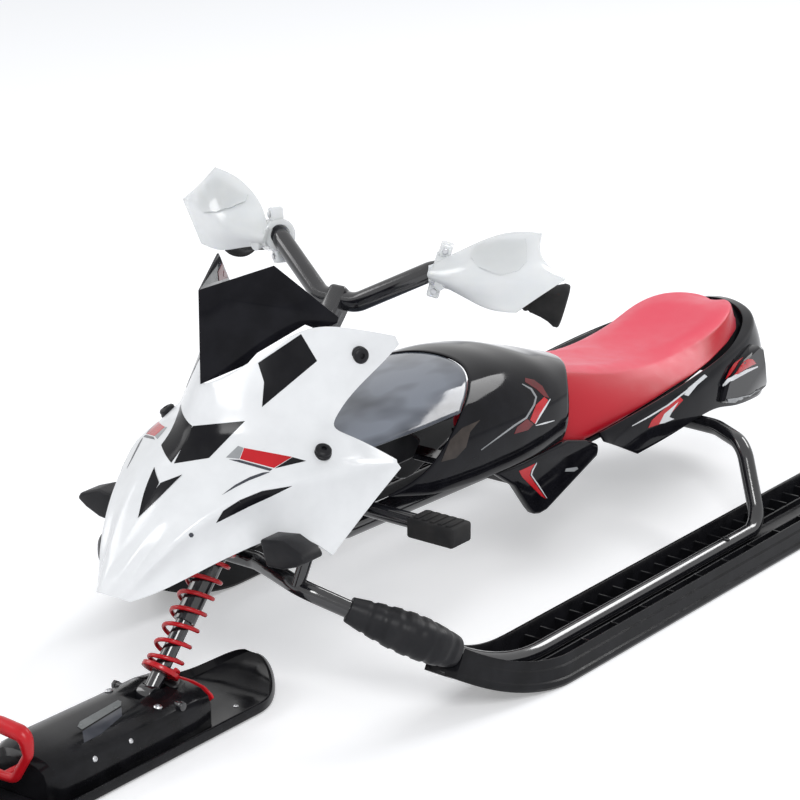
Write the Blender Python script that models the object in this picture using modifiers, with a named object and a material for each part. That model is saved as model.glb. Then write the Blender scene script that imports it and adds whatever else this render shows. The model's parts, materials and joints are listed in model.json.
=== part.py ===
"""Ski bike for children: tube frame on two ribbed rear skis, a sprung front ski that steers, and a moulded nose.

Frame: metres, up is +Z, the front of the bike is -Y, the rider's left is +X.
The origin is the middle of the footprint on the ground.
"""
import math

import bmesh
import bpy
from mathutils import Matrix, Vector

# Overall sizes and clearances
HALF_LENGTH = 0.690
GAP = 0.0003
SMALL = 0.0001

# Frame tubes
FRAME_R = 0.009
SPINE_R = 0.012
SPINE_KNEE = Vector((0.0, -0.070, 0.119))
SPINE_JOIN = 0.195
HOOP_REAR_Y = 0.470
HOOP_REAR_Z = 0.1035
HOOP_FRONT_Y = -0.229
HOOP_FRONT_Z = 0.140
HOOP_KNEE = Vector((0.100, -0.262, 0.142))
HOOP_END = Vector((0.138, -0.2355, 0.1205))
FOOT_BAR_R = 0.008
FOOT_BAR_Z = 0.1745
FOOT_BAR_KNEE = Vector((0.075, -0.128, 0.1775))
FOOT_BAR_END = Vector((0.178, -0.130, 0.1780))
BAR_R = 0.010

# Steering and strut axis, in the plane X = 0
FOOT = Vector((0.0, -0.352, 0.062))
RAKE = math.radians(42.7)
AXIS = Vector((0.0, math.sin(RAKE), math.cos(RAKE)))
HEAD_LOW = 0.150
HEAD_HIGH = 0.285
HEAD_R = 0.017
PEG_REAR = -0.2790
PEG_POST_Z = 0.1855
STEERER_R = 0.0112
STEERER_BORE = 0.0083
STEERER_LOW = 0.052
STEERER_HIGH = 0.400
BAR_AT = 0.413
LEG_R = 0.0078
LEG_HIGH = 0.235
SEAT_DISC_R = 0.0195
UPPER_SEAT_AT = 0.136

# Handlebar, left half
BAR_CORNER = Vector((0.100, -0.042, 0.408))
BAR_TIP = Vector((0.205, 0.021, 0.374))
LUG_REACH = 0.0140

# Coil spring
COIL_MEAN_R = 0.0160
COIL_WIRE_R = 0.0022
COIL_TURNS = 8.5
COIL_POINTS_PER_TURN = 9

# Front ski and reel housing
FRONT_SKI_HALF = 0.057
FRONT_SKI_TOP = 0.0055
FRONT_CURL_REACH = 0.100
FRONT_CURL_R = 0.125
FRONT_CURL_START = FRONT_CURL_REACH - HALF_LENGTH
FRONT_TAPER_START = FRONT_CURL_START - 0.010
PIVOT_DOWN = 0.028
EYE_R = 0.0105
EYE_HALF = 0.0085
PIN_R = 0.004
POCKET_R = 0.0265
REEL_Y = -0.470
REEL_R = 0.031
HOUSING_REAR = -0.324
HOUSING_FRONT = -0.550
HOUSING_HALF = 0.045
HOUSING_TOP = 0.048
TOW_Y = -0.572
TOW_PORT_Z = 0.034

# Rear skis
REAR_SKI_X = 0.2155
REAR_SKI_HALF = 0.0415
REAR_SKI_HEEL = 0.600
HEEL_WALL = REAR_SKI_HEEL - 0.006
TOE_START = -0.020
TOE_R = 0.250
TOE_END = -0.178
CHANNEL_HALF = 0.0145
CHANNEL_FLOOR = 0.0155
RAIL_Z = CHANNEL_FLOOR + GAP + FRAME_R

# Seat
SEAT_SLOPE = 0.098
SEAT_BASE_Y = 0.252
SEAT_BASE_Z = 0.136
PAN_THICK = 0.004
PAN_EARS = [(0.345, 0.385)]
PAN_EAR_REACH = 0.0957
SEAT_BRACKET_HALF = 0.022

# Shell walls and the screws through them
SHELL = 0.0026
TAIL_SHELL = 0.0028
BLOCK_GAP = 0.0003
BLOCK_ROOT = 0.0120
SCREEN_FOOT = 0.3335
TANK_SEAT = 0.0004
SCREW_R = 0.0080
SHANK_R = 0.0025
STAY_R = 0.0045
STAY_DEPTH = 0.022


def clear_scene():
    for item in list(bpy.data.objects):
        bpy.data.objects.remove(item, do_unlink=True)


clear_scene()
PARTS = bpy.data.collections.new("ski_bike")
CUTTERS = bpy.data.collections.new("cutters")
bpy.context.scene.collection.children.link(PARTS)
bpy.context.scene.collection.children.link(CUTTERS)


# Materials
def make_material(name, colour, roughness, metallic=0.0):
    mat = bpy.data.materials.new(name)
    mat.use_nodes = True
    shader = mat.node_tree.nodes["Principled BSDF"]
    shader.inputs["Base Color"].default_value = (*colour, 1.0)
    shader.inputs["Roughness"].default_value = roughness
    shader.inputs["Metallic"].default_value = metallic
    mat.diffuse_color = (*colour, 1.0)
    return mat


LOOKS = {
    "black_paint": ((0.012, 0.012, 0.014), 0.22, 0.0),
    "black_plastic": ((0.018, 0.018, 0.020), 0.42, 0.0),
    "black_gloss": ((0.008, 0.008, 0.010), 0.08, 0.0),
    "grey_gloss": ((0.16, 0.18, 0.23), 0.12, 0.0),
    "white_gloss": ((0.84, 0.86, 0.87), 0.14, 0.0),
    "white_clear": ((0.78, 0.82, 0.86), 0.25, 0.0),
    "red_paint": ((0.50, 0.010, 0.014), 0.28, 0.0),
    "red_vinyl": ((0.52, 0.012, 0.022), 0.40, 0.0),
    "dark_rubber": ((0.022, 0.022, 0.024), 0.65, 0.0),
    "zinc": ((0.55, 0.56, 0.58), 0.32, 1.0),
}


def dress(item, look):
    """Gives a part its own material and puts it in the parts collection."""
    colour, roughness, metallic = LOOKS[look]
    item.data.materials.clear()
    item.data.materials.append(make_material(item.name + "_mat", colour, roughness, metallic))
    for owner in list(item.users_collection):
        owner.objects.unlink(item)
    PARTS.objects.link(item)
    return item


# Mesh helpers
def mesh_object(name, bm, smooth=True):
    mesh = bpy.data.meshes.new(name)
    bm.to_mesh(mesh)
    bm.free()
    for face in mesh.polygons:
        face.use_smooth = smooth
    item = bpy.data.objects.new(name, mesh)
    bpy.context.scene.collection.objects.link(item)
    return item


def sharpen(item, degrees=35.0):
    """Keeps edges sharper than the angle crisp under smooth shading."""
    mesh = item.data
    mesh.set_sharp_from_angle(angle=math.radians(degrees))
    return item


def box_object(name, low, high, bevel=0.0, segments=2):
    """A box between two corners, with rounded edges when a bevel is given."""
    bm = bmesh.new()
    bmesh.ops.create_cube(bm, size=1.0)
    low = Vector(low)
    high = Vector(high)
    middle = (low + high) / 2.0
    size = high - low
    for vert in bm.verts:
        vert.co = Vector((vert.co.x * size.x, vert.co.y * size.y, vert.co.z * size.z)) + middle
    item = mesh_object(name, bm, smooth=bevel > 0.0)
    if bevel > 0.0:
        add_bevel(item, bevel, segments)
    return item


def add_bevel(item, width, segments=2, angle=30.0):
    mod = item.modifiers.new("edges", "BEVEL")
    mod.width = width
    mod.segments = segments
    mod.limit_method = "ANGLE"
    mod.angle_limit = math.radians(angle)
    mod.harden_normals = False
    return mod


def face_out(bm):
    """Turns the faces of a closed mesh outwards."""
    bmesh.ops.recalc_face_normals(bm, faces=bm.faces)
    if bm.calc_volume(signed=True) < 0.0:
        bmesh.ops.reverse_faces(bm, faces=bm.faces)
    return bm


def prism(name, outline, low, high, axis="x", smooth=False):
    """A flat outline pushed between two levels. Axis x: outline is (y, z); axis z: outline is (x, y)."""
    bm = bmesh.new()

    def place(pair, level):
        if axis == "x":
            return Vector((level, pair[0], pair[1]))
        if axis == "y":
            return Vector((pair[0], level, pair[1]))
        return Vector((pair[0], pair[1], level))

    bottom = [bm.verts.new(place(pair, low)) for pair in outline]
    top = [bm.verts.new(place(pair, high)) for pair in outline]
    count = len(outline)
    bm.faces.new(bottom)
    bm.faces.new(top)
    for index in range(count):
        after = (index + 1) % count
        bm.faces.new((bottom[index], bottom[after], top[after], top[index]))
    return mesh_object(name, face_out(bm), smooth)


def cylinder(name, start, end, radius, sides=24, far_radius=None):
    """A closed cylinder or cone between two points."""
    start = Vector(start)
    end = Vector(end)
    bm = bmesh.new()
    far = radius if far_radius is None else far_radius
    length = (end - start).length
    bmesh.ops.create_cone(bm, cap_ends=True, segments=sides, radius1=radius, radius2=far, depth=length)
    turn = (end - start).to_track_quat("Z", "Y").to_matrix().to_4x4()
    move = Matrix.Translation((start + end) / 2.0)
    bmesh.ops.transform(bm, matrix=move @ turn, verts=bm.verts)
    return sharpen(mesh_object(name, bm))


def loft(rows, close_loop=True, caps=True):
    """Faces between rows of points; rows may be closed rings."""
    bm = bmesh.new()
    made = [[bm.verts.new(Vector(point)) for point in row] for row in rows]
    for lower, upper in zip(made, made[1:]):
        count = len(lower)
        last = count if close_loop else count - 1
        for index in range(last):
            after = (index + 1) % count
            corners = (lower[index], lower[after], upper[after], upper[index])
            bm.faces.new(corners)
    if caps and close_loop:
        bm.faces.new(made[0])
        bm.faces.new(made[-1])
    return face_out(bm)


def turned(name, profile, sides=32):
    """A solid of revolution about Z; the profile is put so that it runs down its outer side at +X."""
    area = 0.0
    for (r_one, z_one), (r_two, z_two) in zip(profile, profile[1:] + profile[:1]):
        area += r_one * z_two - r_two * z_one
    if area > 0.0:
        profile = list(reversed(profile))
    bm = bmesh.new()
    verts = [bm.verts.new((radius, 0.0, height)) for radius, height in profile]
    for first, second in zip(verts, verts[1:]):
        bm.edges.new((first, second))
    if profile[0][0] > 0.0:
        bm.edges.new((verts[-1], verts[0]))
    item = mesh_object(name, bm)
    mod = item.modifiers.new("turn", "SCREW")
    mod.steps = sides
    mod.render_steps = sides
    mod.use_merge_vertices = True
    mod.merge_threshold = 0.00005
    mod.use_smooth_shade = True
    return item


def on_axis(distance):
    return FOOT + AXIS * distance


def along_axis(item, distance=0.0):
    """Puts a part modelled along +Z on the strut axis."""
    item.rotation_mode = "XYZ"
    item.rotation_euler = (-RAKE, 0.0, 0.0)
    item.location = on_axis(distance)
    return item


def rounded_path(points, radius, steps=5):
    """A poly line whose inner corners are arcs."""
    points = [Vector(point) for point in points]
    path = [points[0]]
    for before, corner, after in zip(points, points[1:], points[2:]):
        to_before = (before - corner).normalized()
        to_after = (after - corner).normalized()
        angle = to_before.angle(to_after)
        if angle > math.radians(176.0):
            path.append(corner)
            continue
        reach = radius / math.tan(angle / 2.0)
        limit = 0.48 * min((before - corner).length, (after - corner).length)
        reach = min(reach, limit)
        size = reach * math.tan(angle / 2.0)
        centre = corner + (to_before + to_after).normalized() * (size / math.sin(angle / 2.0))
        start = corner + to_before * reach - centre
        end = corner + to_after * reach - centre
        sweep = start.angle(end)
        for index in range(steps + 1):
            share = index / steps
            side = math.sin((1.0 - share) * sweep) / math.sin(sweep)
            other = math.sin(share * sweep) / math.sin(sweep)
            path.append(centre + start * side + end * other)
    path.append(points[-1])
    return path


def tube(name, path, radius, resolution=3, radii=None):
    """A round tube along a path, closed at both ends."""
    curve = bpy.data.curves.new(name, "CURVE")
    curve.dimensions = "3D"
    curve.twist_mode = "MINIMUM"
    curve.bevel_depth = radius
    curve.bevel_resolution = resolution
    curve.use_fill_caps = True
    spline = curve.splines.new("POLY")
    spline.points.add(len(path) - 1)
    for index, point in enumerate(path):
        spline.points[index].co = (*point, 1.0)
        if radii is not None:
            spline.points[index].radius = radii[index] / radius
    item = bpy.data.objects.new(name, curve)
    bpy.context.scene.collection.objects.link(item)
    return item


def to_mesh(item, smooth=True):
    """Turns a curve, or an object with modifiers, into a plain mesh object of the same name."""
    bpy.context.view_layer.update()
    graph = bpy.context.evaluated_depsgraph_get()
    mesh = bpy.data.meshes.new_from_object(item.evaluated_get(graph))
    bm = bmesh.new()
    bm.from_mesh(mesh)
    bm.transform(item.matrix_world)
    bmesh.ops.remove_doubles(bm, verts=bm.verts, dist=0.00001)
    bmesh.ops.recalc_face_normals(bm, faces=bm.faces)
    name = item.name
    bpy.data.objects.remove(item, do_unlink=True)
    bpy.data.meshes.remove(mesh)
    return mesh_object(name, bm, smooth)


def cut(item, tool, operation="DIFFERENCE"):
    """Cuts with, or joins, another closed body."""
    for owner in list(tool.users_collection):
        owner.objects.unlink(tool)
    CUTTERS.objects.link(tool)
    tool.hide_render = True
    tool.display_type = "WIRE"
    mod = item.modifiers.new(tool.name, "BOOLEAN")
    mod.operation = operation
    mod.solver = "EXACT"
    mod.object = tool
    return item


def sides():
    return (("left", 1.0), ("right", -1.0))


def across(points, side):
    """Mirrors points to the other side of the bike when the side is -1."""
    return [Vector((point[0] * side, point[1], point[2])) for point in points]


# Rear ski toe
def toe_frame(y):
    """Ground point, forward direction and up direction of the rear ski's base at a station."""
    rise = max(0.0, TOE_START - y)
    slope = rise / TOE_R
    angle = math.atan(slope)
    forward = Vector((0.0, -math.cos(angle), math.sin(angle)))
    up = Vector((0.0, math.sin(angle), math.cos(angle)))
    return rise * rise / (2.0 * TOE_R), forward, up


def toe_half(y):
    """Half width of the rear ski at a station, narrowing to the toe and rounded at the heel."""
    if y < -0.03:
        share = (-0.03 - y) / (-0.03 - TOE_END)
        return REAR_SKI_HALF - (REAR_SKI_HALF - 0.0190) * share ** 1.35
    if y > 0.56:
        share = (y - 0.56) / (REAR_SKI_HEEL - 0.56)
        return REAR_SKI_HALF - 0.0130 * share ** 2.4
    return REAR_SKI_HALF


def toe_centre(y):
    share = max(0.0, (-0.03 - y) / (-0.03 - TOE_END))
    return REAR_SKI_X - 0.0105 * share ** 1.6


SKI_SECTION = [
    (-0.0400, 0.0000), (-0.0060, 0.0000), (-0.0045, 0.0030), (0.0045, 0.0030), (0.0060, 0.0000),
    (0.0400, 0.0000), (0.0415, 0.0030), (0.0388, 0.0310), (0.0345, 0.0310), (0.0335, 0.0235),
    (0.0275, 0.0235), (0.0265, 0.0160), (0.0155, 0.0160), (0.0145, 0.0220), (0.0118, 0.0220),
    (0.0115, CHANNEL_FLOOR), (-0.0115, CHANNEL_FLOOR), (-0.0118, 0.0220), (-0.0145, 0.0220),
    (-0.0155, 0.0120), (-0.0345, 0.0120), (-0.0365, 0.0330), (-0.0400, 0.0330), (-0.0415, 0.0030),
]


def ski_station(y, side):
    ground, forward, up = toe_frame(y)
    half = toe_half(y)
    centre = toe_centre(y)
    stretch = (half - CHANNEL_HALF) / (REAR_SKI_HALF - CHANNEL_HALF)
    ring = []
    for offset, height in SKI_SECTION:
        reach = abs(offset)
        if reach > CHANNEL_HALF:
            reach = CHANNEL_HALF + (reach - CHANNEL_HALF) * stretch
        local = math.copysign(reach, offset)
        if y >= HEEL_WALL and height > 0.003:
            height = max(height, 0.0290)
        base = Vector(((centre + local) * side, y, ground))
        ring.append(base + up * height)
    return ring


def rear_ski(label, side):
    """Ribbed moulding: flat runner, side walls, a channel for the rail and a rising toe."""
    stations = [REAR_SKI_HEEL, HEEL_WALL, HEEL_WALL - GAP, 0.575, 0.555, 0.30, 0.00, -0.03, -0.06, -0.085, -0.11,
                -0.135, -0.158, TOE_END]
    item = mesh_object("rear_ski_" + label, loft([ski_station(y, side) for y in stations]), smooth=False)
    ribs = bmesh.new()
    for index in range(11):
        y = 0.555 - 0.054 * index
        inner = (REAR_SKI_X - 0.0375) * side
        outer = (REAR_SKI_X - 0.0150) * side
        for low_x, high_x, top in ((inner, outer, 0.0240), (outer + 0.0295 * side, outer + 0.0430 * side, 0.0205)):
            rib = bmesh.ops.create_cube(ribs, size=1.0)["verts"]
            middle = (low_x + high_x) / 2.0
            for vert in rib:
                vert.co.x = middle + vert.co.x * abs(high_x - low_x)
                vert.co.y = y + vert.co.y * 0.003
                vert.co.z = (top + 0.008) / 2.0 + vert.co.z * (top - 0.008)
    tool = mesh_object("ski_ribs_" + label, ribs, smooth=False)
    cut(item, tool, "UNION")
    return dress(item, "black_plastic")


def rail_point(y):
    ground, forward, up = toe_frame(y)
    return Vector((toe_centre(y), y, ground)) + up * RAIL_Z


def rear_hoop():
    """One bent tube: rail, leg, bar under the tail, leg, rail."""
    toe = [rail_point(y) for y in (TOE_END + 0.0005, -0.158, -0.135, -0.11, -0.085, -0.06, TOE_START)]
    ground, forward, up = toe_frame(TOE_END)
    tip = rail_point(TOE_END) + forward * 0.010
    bends = rounded_path([
        (REAR_SKI_X, 0.0, RAIL_Z), (REAR_SKI_X, 0.404, RAIL_Z), (0.174, 0.434, 0.1040),
        (0.120, HOOP_REAR_Y - 0.004, HOOP_REAR_Z), (0.0, HOOP_REAR_Y, HOOP_REAR_Z)], 0.034, 4)
    left = [tip] + toe + bends
    right = across(reversed(left[:-1]), -1.0)
    return dress(tube("rear_hoop_tube", left + right, FRAME_R, 2), "black_paint")


# Boots between the front hoop and the rear skis
def hoop_heading():
    """Direction of the outrigger where it enters the boot."""
    return (HOOP_END - HOOP_KNEE).normalized()


def boot_line():
    """Centre line of the boot: along the toe, then round to the outrigger."""
    ground, forward, up = toe_frame(TOE_END)
    start = rail_point(TOE_END) + forward * 0.0016
    end = HOOP_END
    heading = hoop_heading()
    span = (end - start).length
    first = start + forward * span * 0.38
    second = end + heading * span * 0.34
    line = []
    for index in range(8):
        share = index / 7.0
        rest = 1.0 - share
        line.append(start * rest ** 3 + first * 3 * rest ** 2 * share
                    + second * 3 * rest * share ** 2 + end * share ** 3)
    return line


BOOT_HALVES = [(0.0185, 0.0170), (0.0205, 0.0195), (0.0215, 0.0205), (0.0210, 0.0205),
               (0.0195, 0.0195), (0.0172, 0.0175), (0.0145, 0.0150), (0.0118, 0.0120)]


def boot(label, side):
    line = boot_line()
    rows = []
    for index, point in enumerate(line):
        before = line[max(0, index - 1)]
        after = line[min(len(line) - 1, index + 1)]
        along = (after - before).normalized()
        if index == 0:
            along = toe_frame(TOE_END)[1]
        flat = along.cross(Vector((0.0, 0.0, 1.0))).normalized()
        up = flat.cross(along).normalized()
        wide, tall = BOOT_HALVES[index]
        ring = []
        for step in range(16):
            turn = 2.0 * math.pi * step / 16
            across_part = math.copysign(abs(math.cos(turn)) ** 0.75, math.cos(turn)) * wide
            up_part = math.copysign(abs(math.sin(turn)) ** 0.75, math.sin(turn)) * tall
            ring.append(point + flat * across_part + up * up_part)
        rows.append(across(ring, side))
    item = mesh_object("toe_boot_" + label, loft(rows))
    ground, forward, up = toe_frame(TOE_END)
    low = across([rail_point(TOE_END) - forward * 0.004, rail_point(TOE_END) + forward * 0.0125], side)
    cut(item, cylinder("boot_rail_bore_" + label, low[0], low[1], FRAME_R + GAP, 16))
    heading = hoop_heading()
    high = across([HOOP_END - heading * 0.004, HOOP_END + heading * 0.0305], side)
    cut(item, cylinder("boot_outrigger_bore_" + label, high[0], high[1], FRAME_R + GAP, 16))
    return dress(sharpen(item, 50.0), "black_plastic")


def front_hoop_path():
    left = [HOOP_END + hoop_heading() * 0.028, HOOP_KNEE, Vector((0.055, -0.243, HOOP_FRONT_Z + 0.001)),
            Vector((0.020, HOOP_FRONT_Y, HOOP_FRONT_Z))]
    right = across(reversed(left), -1.0)
    return rounded_path(left + right, 0.030, 4)


def front_hoop():
    """One bent tube: outrigger, cross part behind the strut, outrigger."""
    return dress(tube("front_hoop_tube", front_hoop_path(), FRAME_R, 2), "black_paint")


# Spine, head tube and their joints
def head_tube():
    profile = [(HEAD_R, HEAD_HIGH), (HEAD_R, HEAD_LOW), (0.0140, HEAD_LOW), (0.0140, HEAD_HIGH)]
    item = turned("head_tube", profile, 24)
    return dress(along_axis(item), "black_paint")


def head_bearing(name, low, high, lip_low, lip_high):
    """A flanged bush: the sleeve sits in the head tube, the flange on its end."""
    bore = STEERER_R + GAP
    sleeve = 0.0140 - GAP
    flange = HEAD_R + 0.0008
    if lip_high > high:
        profile = [(flange, lip_high), (flange, high), (sleeve, high), (sleeve, low), (bore, low), (bore, lip_high)]
    else:
        profile = [(sleeve, high), (sleeve, low), (flange, low), (flange, lip_low), (bore, lip_low), (bore, high)]
    return dress(along_axis(turned(name, profile, 20)), "black_plastic")


def spine_path():
    """From the rear hoop forward under the tank, then up to the head tube."""
    return rounded_path([(0.0, HOOP_REAR_Y - 0.004, HOOP_REAR_Z), SPINE_KNEE, on_axis(SPINE_JOIN)], 0.045, 5)


def spine_saddle(item, name):
    """Cuts the seat of the spine into a part that stands on it."""
    return cut(item, to_mesh(tube(name, spine_path(), SPINE_R + GAP)))


def spine_tube():
    """Main tube; both ends are coped to the tubes they meet."""
    item = to_mesh(tube("spine_tube", spine_path(), SPINE_R))
    cut(item, cylinder("spine_cope_head", on_axis(0.10), on_axis(0.30), HEAD_R + GAP, 32))
    rear = Vector((0.03, HOOP_REAR_Y, HOOP_REAR_Z))
    cut(item, cylinder("spine_cope_rear", rear - Vector((0.06, 0, 0)), rear, FRAME_R + 2 * GAP, 24))
    return dress(sharpen(item), "black_paint")


def head_gusset():
    """Plate between the head tube, the spine and the front hoop."""
    outline = [(-0.2310, 0.1440), (-0.2190, 0.1410), (-0.1980, 0.1470), (-0.1420, 0.1490), (-0.1560, 0.1590),
               (-0.1960, 0.1630), (-0.2210, 0.1640)]
    item = prism("head_gusset", outline, -0.0020, 0.0020)
    spine_saddle(item, "gusset_spine_clear")
    cut(item, to_mesh(tube("gusset_hoop_clear", front_hoop_path(), FRAME_R + 2 * GAP, 2)))
    cut(item, cylinder("gusset_head_clear", on_axis(0.08), on_axis(0.30), HEAD_R + GAP, 32))
    return dress(item, "black_paint")


def seat_bracket(name, y_low, y_high):
    """Block between spine and seat pan: saddled on the tube, its top level with the sloping pan."""
    spine_low = (SPINE_KNEE.z + HOOP_REAR_Z) / 2.0
    foot = spine_low + 0.4 * SPINE_R
    top_low = seat_level(y_low) - PAN_THICK - 2 * GAP - SMALL
    top_high = seat_level(y_high) - PAN_THICK - 2 * GAP - SMALL
    outline = [(y_low, foot), (y_high, foot), (y_high, top_high), (y_low, top_low)]
    item = prism(name, outline, -SEAT_BRACKET_HALF, SEAT_BRACKET_HALF)
    add_bevel(item, 0.0012, 1)
    return dress(spine_saddle(item, name + "_saddle"), "black_paint")


# Foot bar, pads and pegs
def foot_bar_path():
    left = [FOOT_BAR_END, FOOT_BAR_KNEE, Vector((0.030, -0.127, FOOT_BAR_Z))]
    right = across(reversed(left), -1.0)
    return rounded_path(left + right, 0.030, 4)


def foot_bar():
    """Cross bar coped over the spine."""
    item = to_mesh(tube("foot_bar", foot_bar_path(), FOOT_BAR_R, 2))
    return dress(spine_saddle(item, "foot_bar_cope"), "black_paint")


def foot_pad(label, side):
    """Rubber pad pushed on the end of the foot bar, with a ribbed top."""
    low = Vector((0.140, -0.1465, 0.1665))
    high = Vector((0.196, -0.1135, 0.1885))
    corners = sorted((low.x * side, high.x * side))
    item = box_object("foot_pad_" + label, (corners[0], low.y, low.z), (corners[1], high.y, high.z))
    add_bevel(item, 0.0030, 1)
    along = (FOOT_BAR_END - FOOT_BAR_KNEE).normalized()
    bar = across([FOOT_BAR_END - along * 0.060, FOOT_BAR_END + along * 0.0005], side)
    cut(item, cylinder("pad_bore_" + label, bar[0], bar[1], FOOT_BAR_R + GAP, 16))
    for index in range(5):
        x = (low.x + 0.009 + 0.0095 * index) * side
        groove_low = (x - 0.0013, low.y - 0.010, high.z - 0.0010)
        groove_high = (x + 0.0013, high.y + 0.010, high.z + 0.005)
        cut(item, box_object("pad_groove_%s_%d" % (label, index), groove_low, groove_high))
    return dress(sharpen(item), "dark_rubber")


def front_peg(label, side):
    """Wedge shaped peg beside the nose."""
    outline = [(0.0880, 0.2030), (0.1160, 0.2075), (0.1400, 0.1985), (0.1440, 0.1920), (0.1330, 0.1850),
               (0.1160, 0.1785), (0.0960, 0.1770)]
    item = prism("front_peg_" + label, [(x * side, z) for x, z in outline], -0.3080, PEG_REAR, axis="y")
    add_bevel(item, 0.0028, 1)
    return dress(item, "dark_rubber")


def peg_post(label, side):
    """Short tube, coped to the front hoop, up to the peg's rear face."""
    points = across([HOOP_KNEE + Vector((-0.0040, 0.0020, 0.0010)), (0.1085, -0.2560, PEG_POST_Z),
                     (0.1085, PEG_REAR + GAP, PEG_POST_Z)], side)
    item = to_mesh(tube("peg_post_" + label, rounded_path(points, 0.010, 3), 0.0065, 2))
    cut(item, to_mesh(tube("peg_post_cope_" + label, front_hoop_path(), FRAME_R + 2 * GAP, 2)))
    return dress(item, "black_paint")


# Seat
def seat_level(y):
    return SEAT_BASE_Z + (y - SEAT_BASE_Y) * SEAT_SLOPE


# Station, half width of the base, half width of the rim, level of the rim
SEAT_ROWS = [
    (0.206, 0.0600, 0.0330, 0.2060), (0.218, 0.0765, 0.0425, 0.2170), (0.245, 0.0835, 0.0470, 0.2175),
    (0.290, 0.0885, 0.0530, 0.2055), (0.340, 0.0905, 0.0575, 0.1920), (0.395, 0.0905, 0.0560, 0.1820),
    (0.450, 0.0885, 0.0560, 0.1772), (0.510, 0.0825, 0.0612, 0.1805), (0.565, 0.0720, 0.0655, 0.1905),
    (0.605, 0.0595, 0.0540, 0.1990), (0.635, 0.0405, 0.0320, 0.1970), (0.652, 0.0180, 0.0120, 0.1900),
]


def seat_half(y):
    """Half width of the cushion at a station."""
    for (y_one, half_one, _, _), (y_two, half_two, _, _) in zip(SEAT_ROWS, SEAT_ROWS[1:]):
        if y_one <= y <= y_two:
            return half_one + (half_two - half_one) * (y - y_one) / (y_two - y_one)
    return SEAT_ROWS[-1][1]


def seat_ring(y, half, rim_half, rim):
    """Cross section of the cushion: flat base, sides sloping in to a rounded rim, almost flat top."""
    base = seat_level(y) + GAP
    height = rim - base
    ring = [(half * 0.35, y, base), (half * 0.90, y, base), (half, y, base + height * 0.06)]
    for lean, up_share in ((0.30, 0.36), (0.66, 0.74), (0.96, 0.97)):
        ring.append((half + (rim_half - half) * lean, y, base + height * up_share))
    for across_share, rise in ((0.86, 0.0010), (0.45, 0.0005), (0.0, 0.0005)):
        ring.append((rim_half * across_share, y, rim + rise))
    mirrored = [(-x, y_value, z) for x, y_value, z in reversed(ring[:-1])]
    return ring + mirrored


def seat_cushion():
    rows = [seat_ring(*row) for row in SEAT_ROWS]
    item = mesh_object("seat_cushion", loft(rows))
    mod = item.modifiers.new("soften", "SUBSURF")
    mod.levels = 1
    mod.render_levels = 1
    for edge in item.data.edges:
        first, second = (item.data.vertices[index].co for index in edge.vertices)
        low_first = first.z - seat_level(first.y)
        low_second = second.z - seat_level(second.y)
        if max(low_first, low_second) < 0.002:
            crease_edge(item, edge.index, 0.9)
    return dress(item, "red_vinyl")


def crease_edge(item, index, value):
    layer = item.data.attributes.get("crease_edge")
    if layer is None:
        layer = item.data.attributes.new("crease_edge", "FLOAT", "EDGE")
    layer.data[index].value = value


def seat_pan():
    """Plate under the cushion, with an ear on each side that reaches the tail cowl."""
    inset = 0.0060
    spots = [(y, half - inset) for y, half, _, _ in SEAT_ROWS[1:-1]]
    for low, high in PAN_EARS:
        for y, step in ((low, -GAP), (low, 0.0), (high, 0.0), (high, GAP)):
            reach = PAN_EAR_REACH if step == 0.0 else seat_half(y + step) - inset
            spots.append((y + step, reach))
    rows = []
    for y, wide in sorted(spots):
        top = seat_level(y) - GAP
        rows.append([(wide, y, top), (wide, y, top - PAN_THICK), (-wide, y, top - PAN_THICK), (-wide, y, top)])
    return dress(mesh_object("seat_pan", loft(rows), smooth=False), "black_plastic")


# Tail
TAIL_REACH = HALF_LENGTH + 0.00336
TAIL_COLUMNS = [
    ((0.0975, 0.262, 0.1470), (0.1000, 0.262, 0.1455), (0.1030, 0.262, 0.1420)),
    ((0.0985, 0.325, 0.1500), (0.1030, 0.326, 0.1320), (0.1050, 0.325, 0.1090)),
    ((0.0980, 0.395, 0.1535), (0.1030, 0.396, 0.1340), (0.1050, 0.395, 0.1110)),
    ((0.0955, 0.455, 0.1575), (0.1020, 0.456, 0.1370), (0.1040, 0.455, 0.1165)),
    ((0.0920, 0.505, 0.1610), (0.0990, 0.503, 0.1380), (0.1005, 0.500, 0.1150)),
    ((0.0855, 0.555, 0.1650), (0.0945, 0.550, 0.1390), (0.0950, 0.545, 0.1010)),
    ((0.0735, 0.610, 0.1700), (0.0870, 0.605, 0.1400), (0.0860, 0.600, 0.0930)),
    ((0.0560, 0.652, 0.1760), (0.0720, 0.652, 0.1420), (0.0720, 0.652, 0.0840)),
    ((0.0300, 0.672, 0.1815), (0.0440, 0.682, 0.1440), (0.0460, 0.683, 0.0830)),
    ((0.0000, 0.677, 0.1850), (0.0000, TAIL_REACH, 0.1440), (0.0000, TAIL_REACH, 0.0830)),
]


def hold_corners(item, spots):
    """Keeps the vertices at the given points sharp when the surface is rounded."""
    layer = item.data.attributes.new("crease_vert", "FLOAT", "POINT")
    for vertex in item.data.vertices:
        if any((vertex.co - Vector(spot)).length < 1e-6 for spot in spots):
            layer.data[vertex.index].value = 1.0


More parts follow.
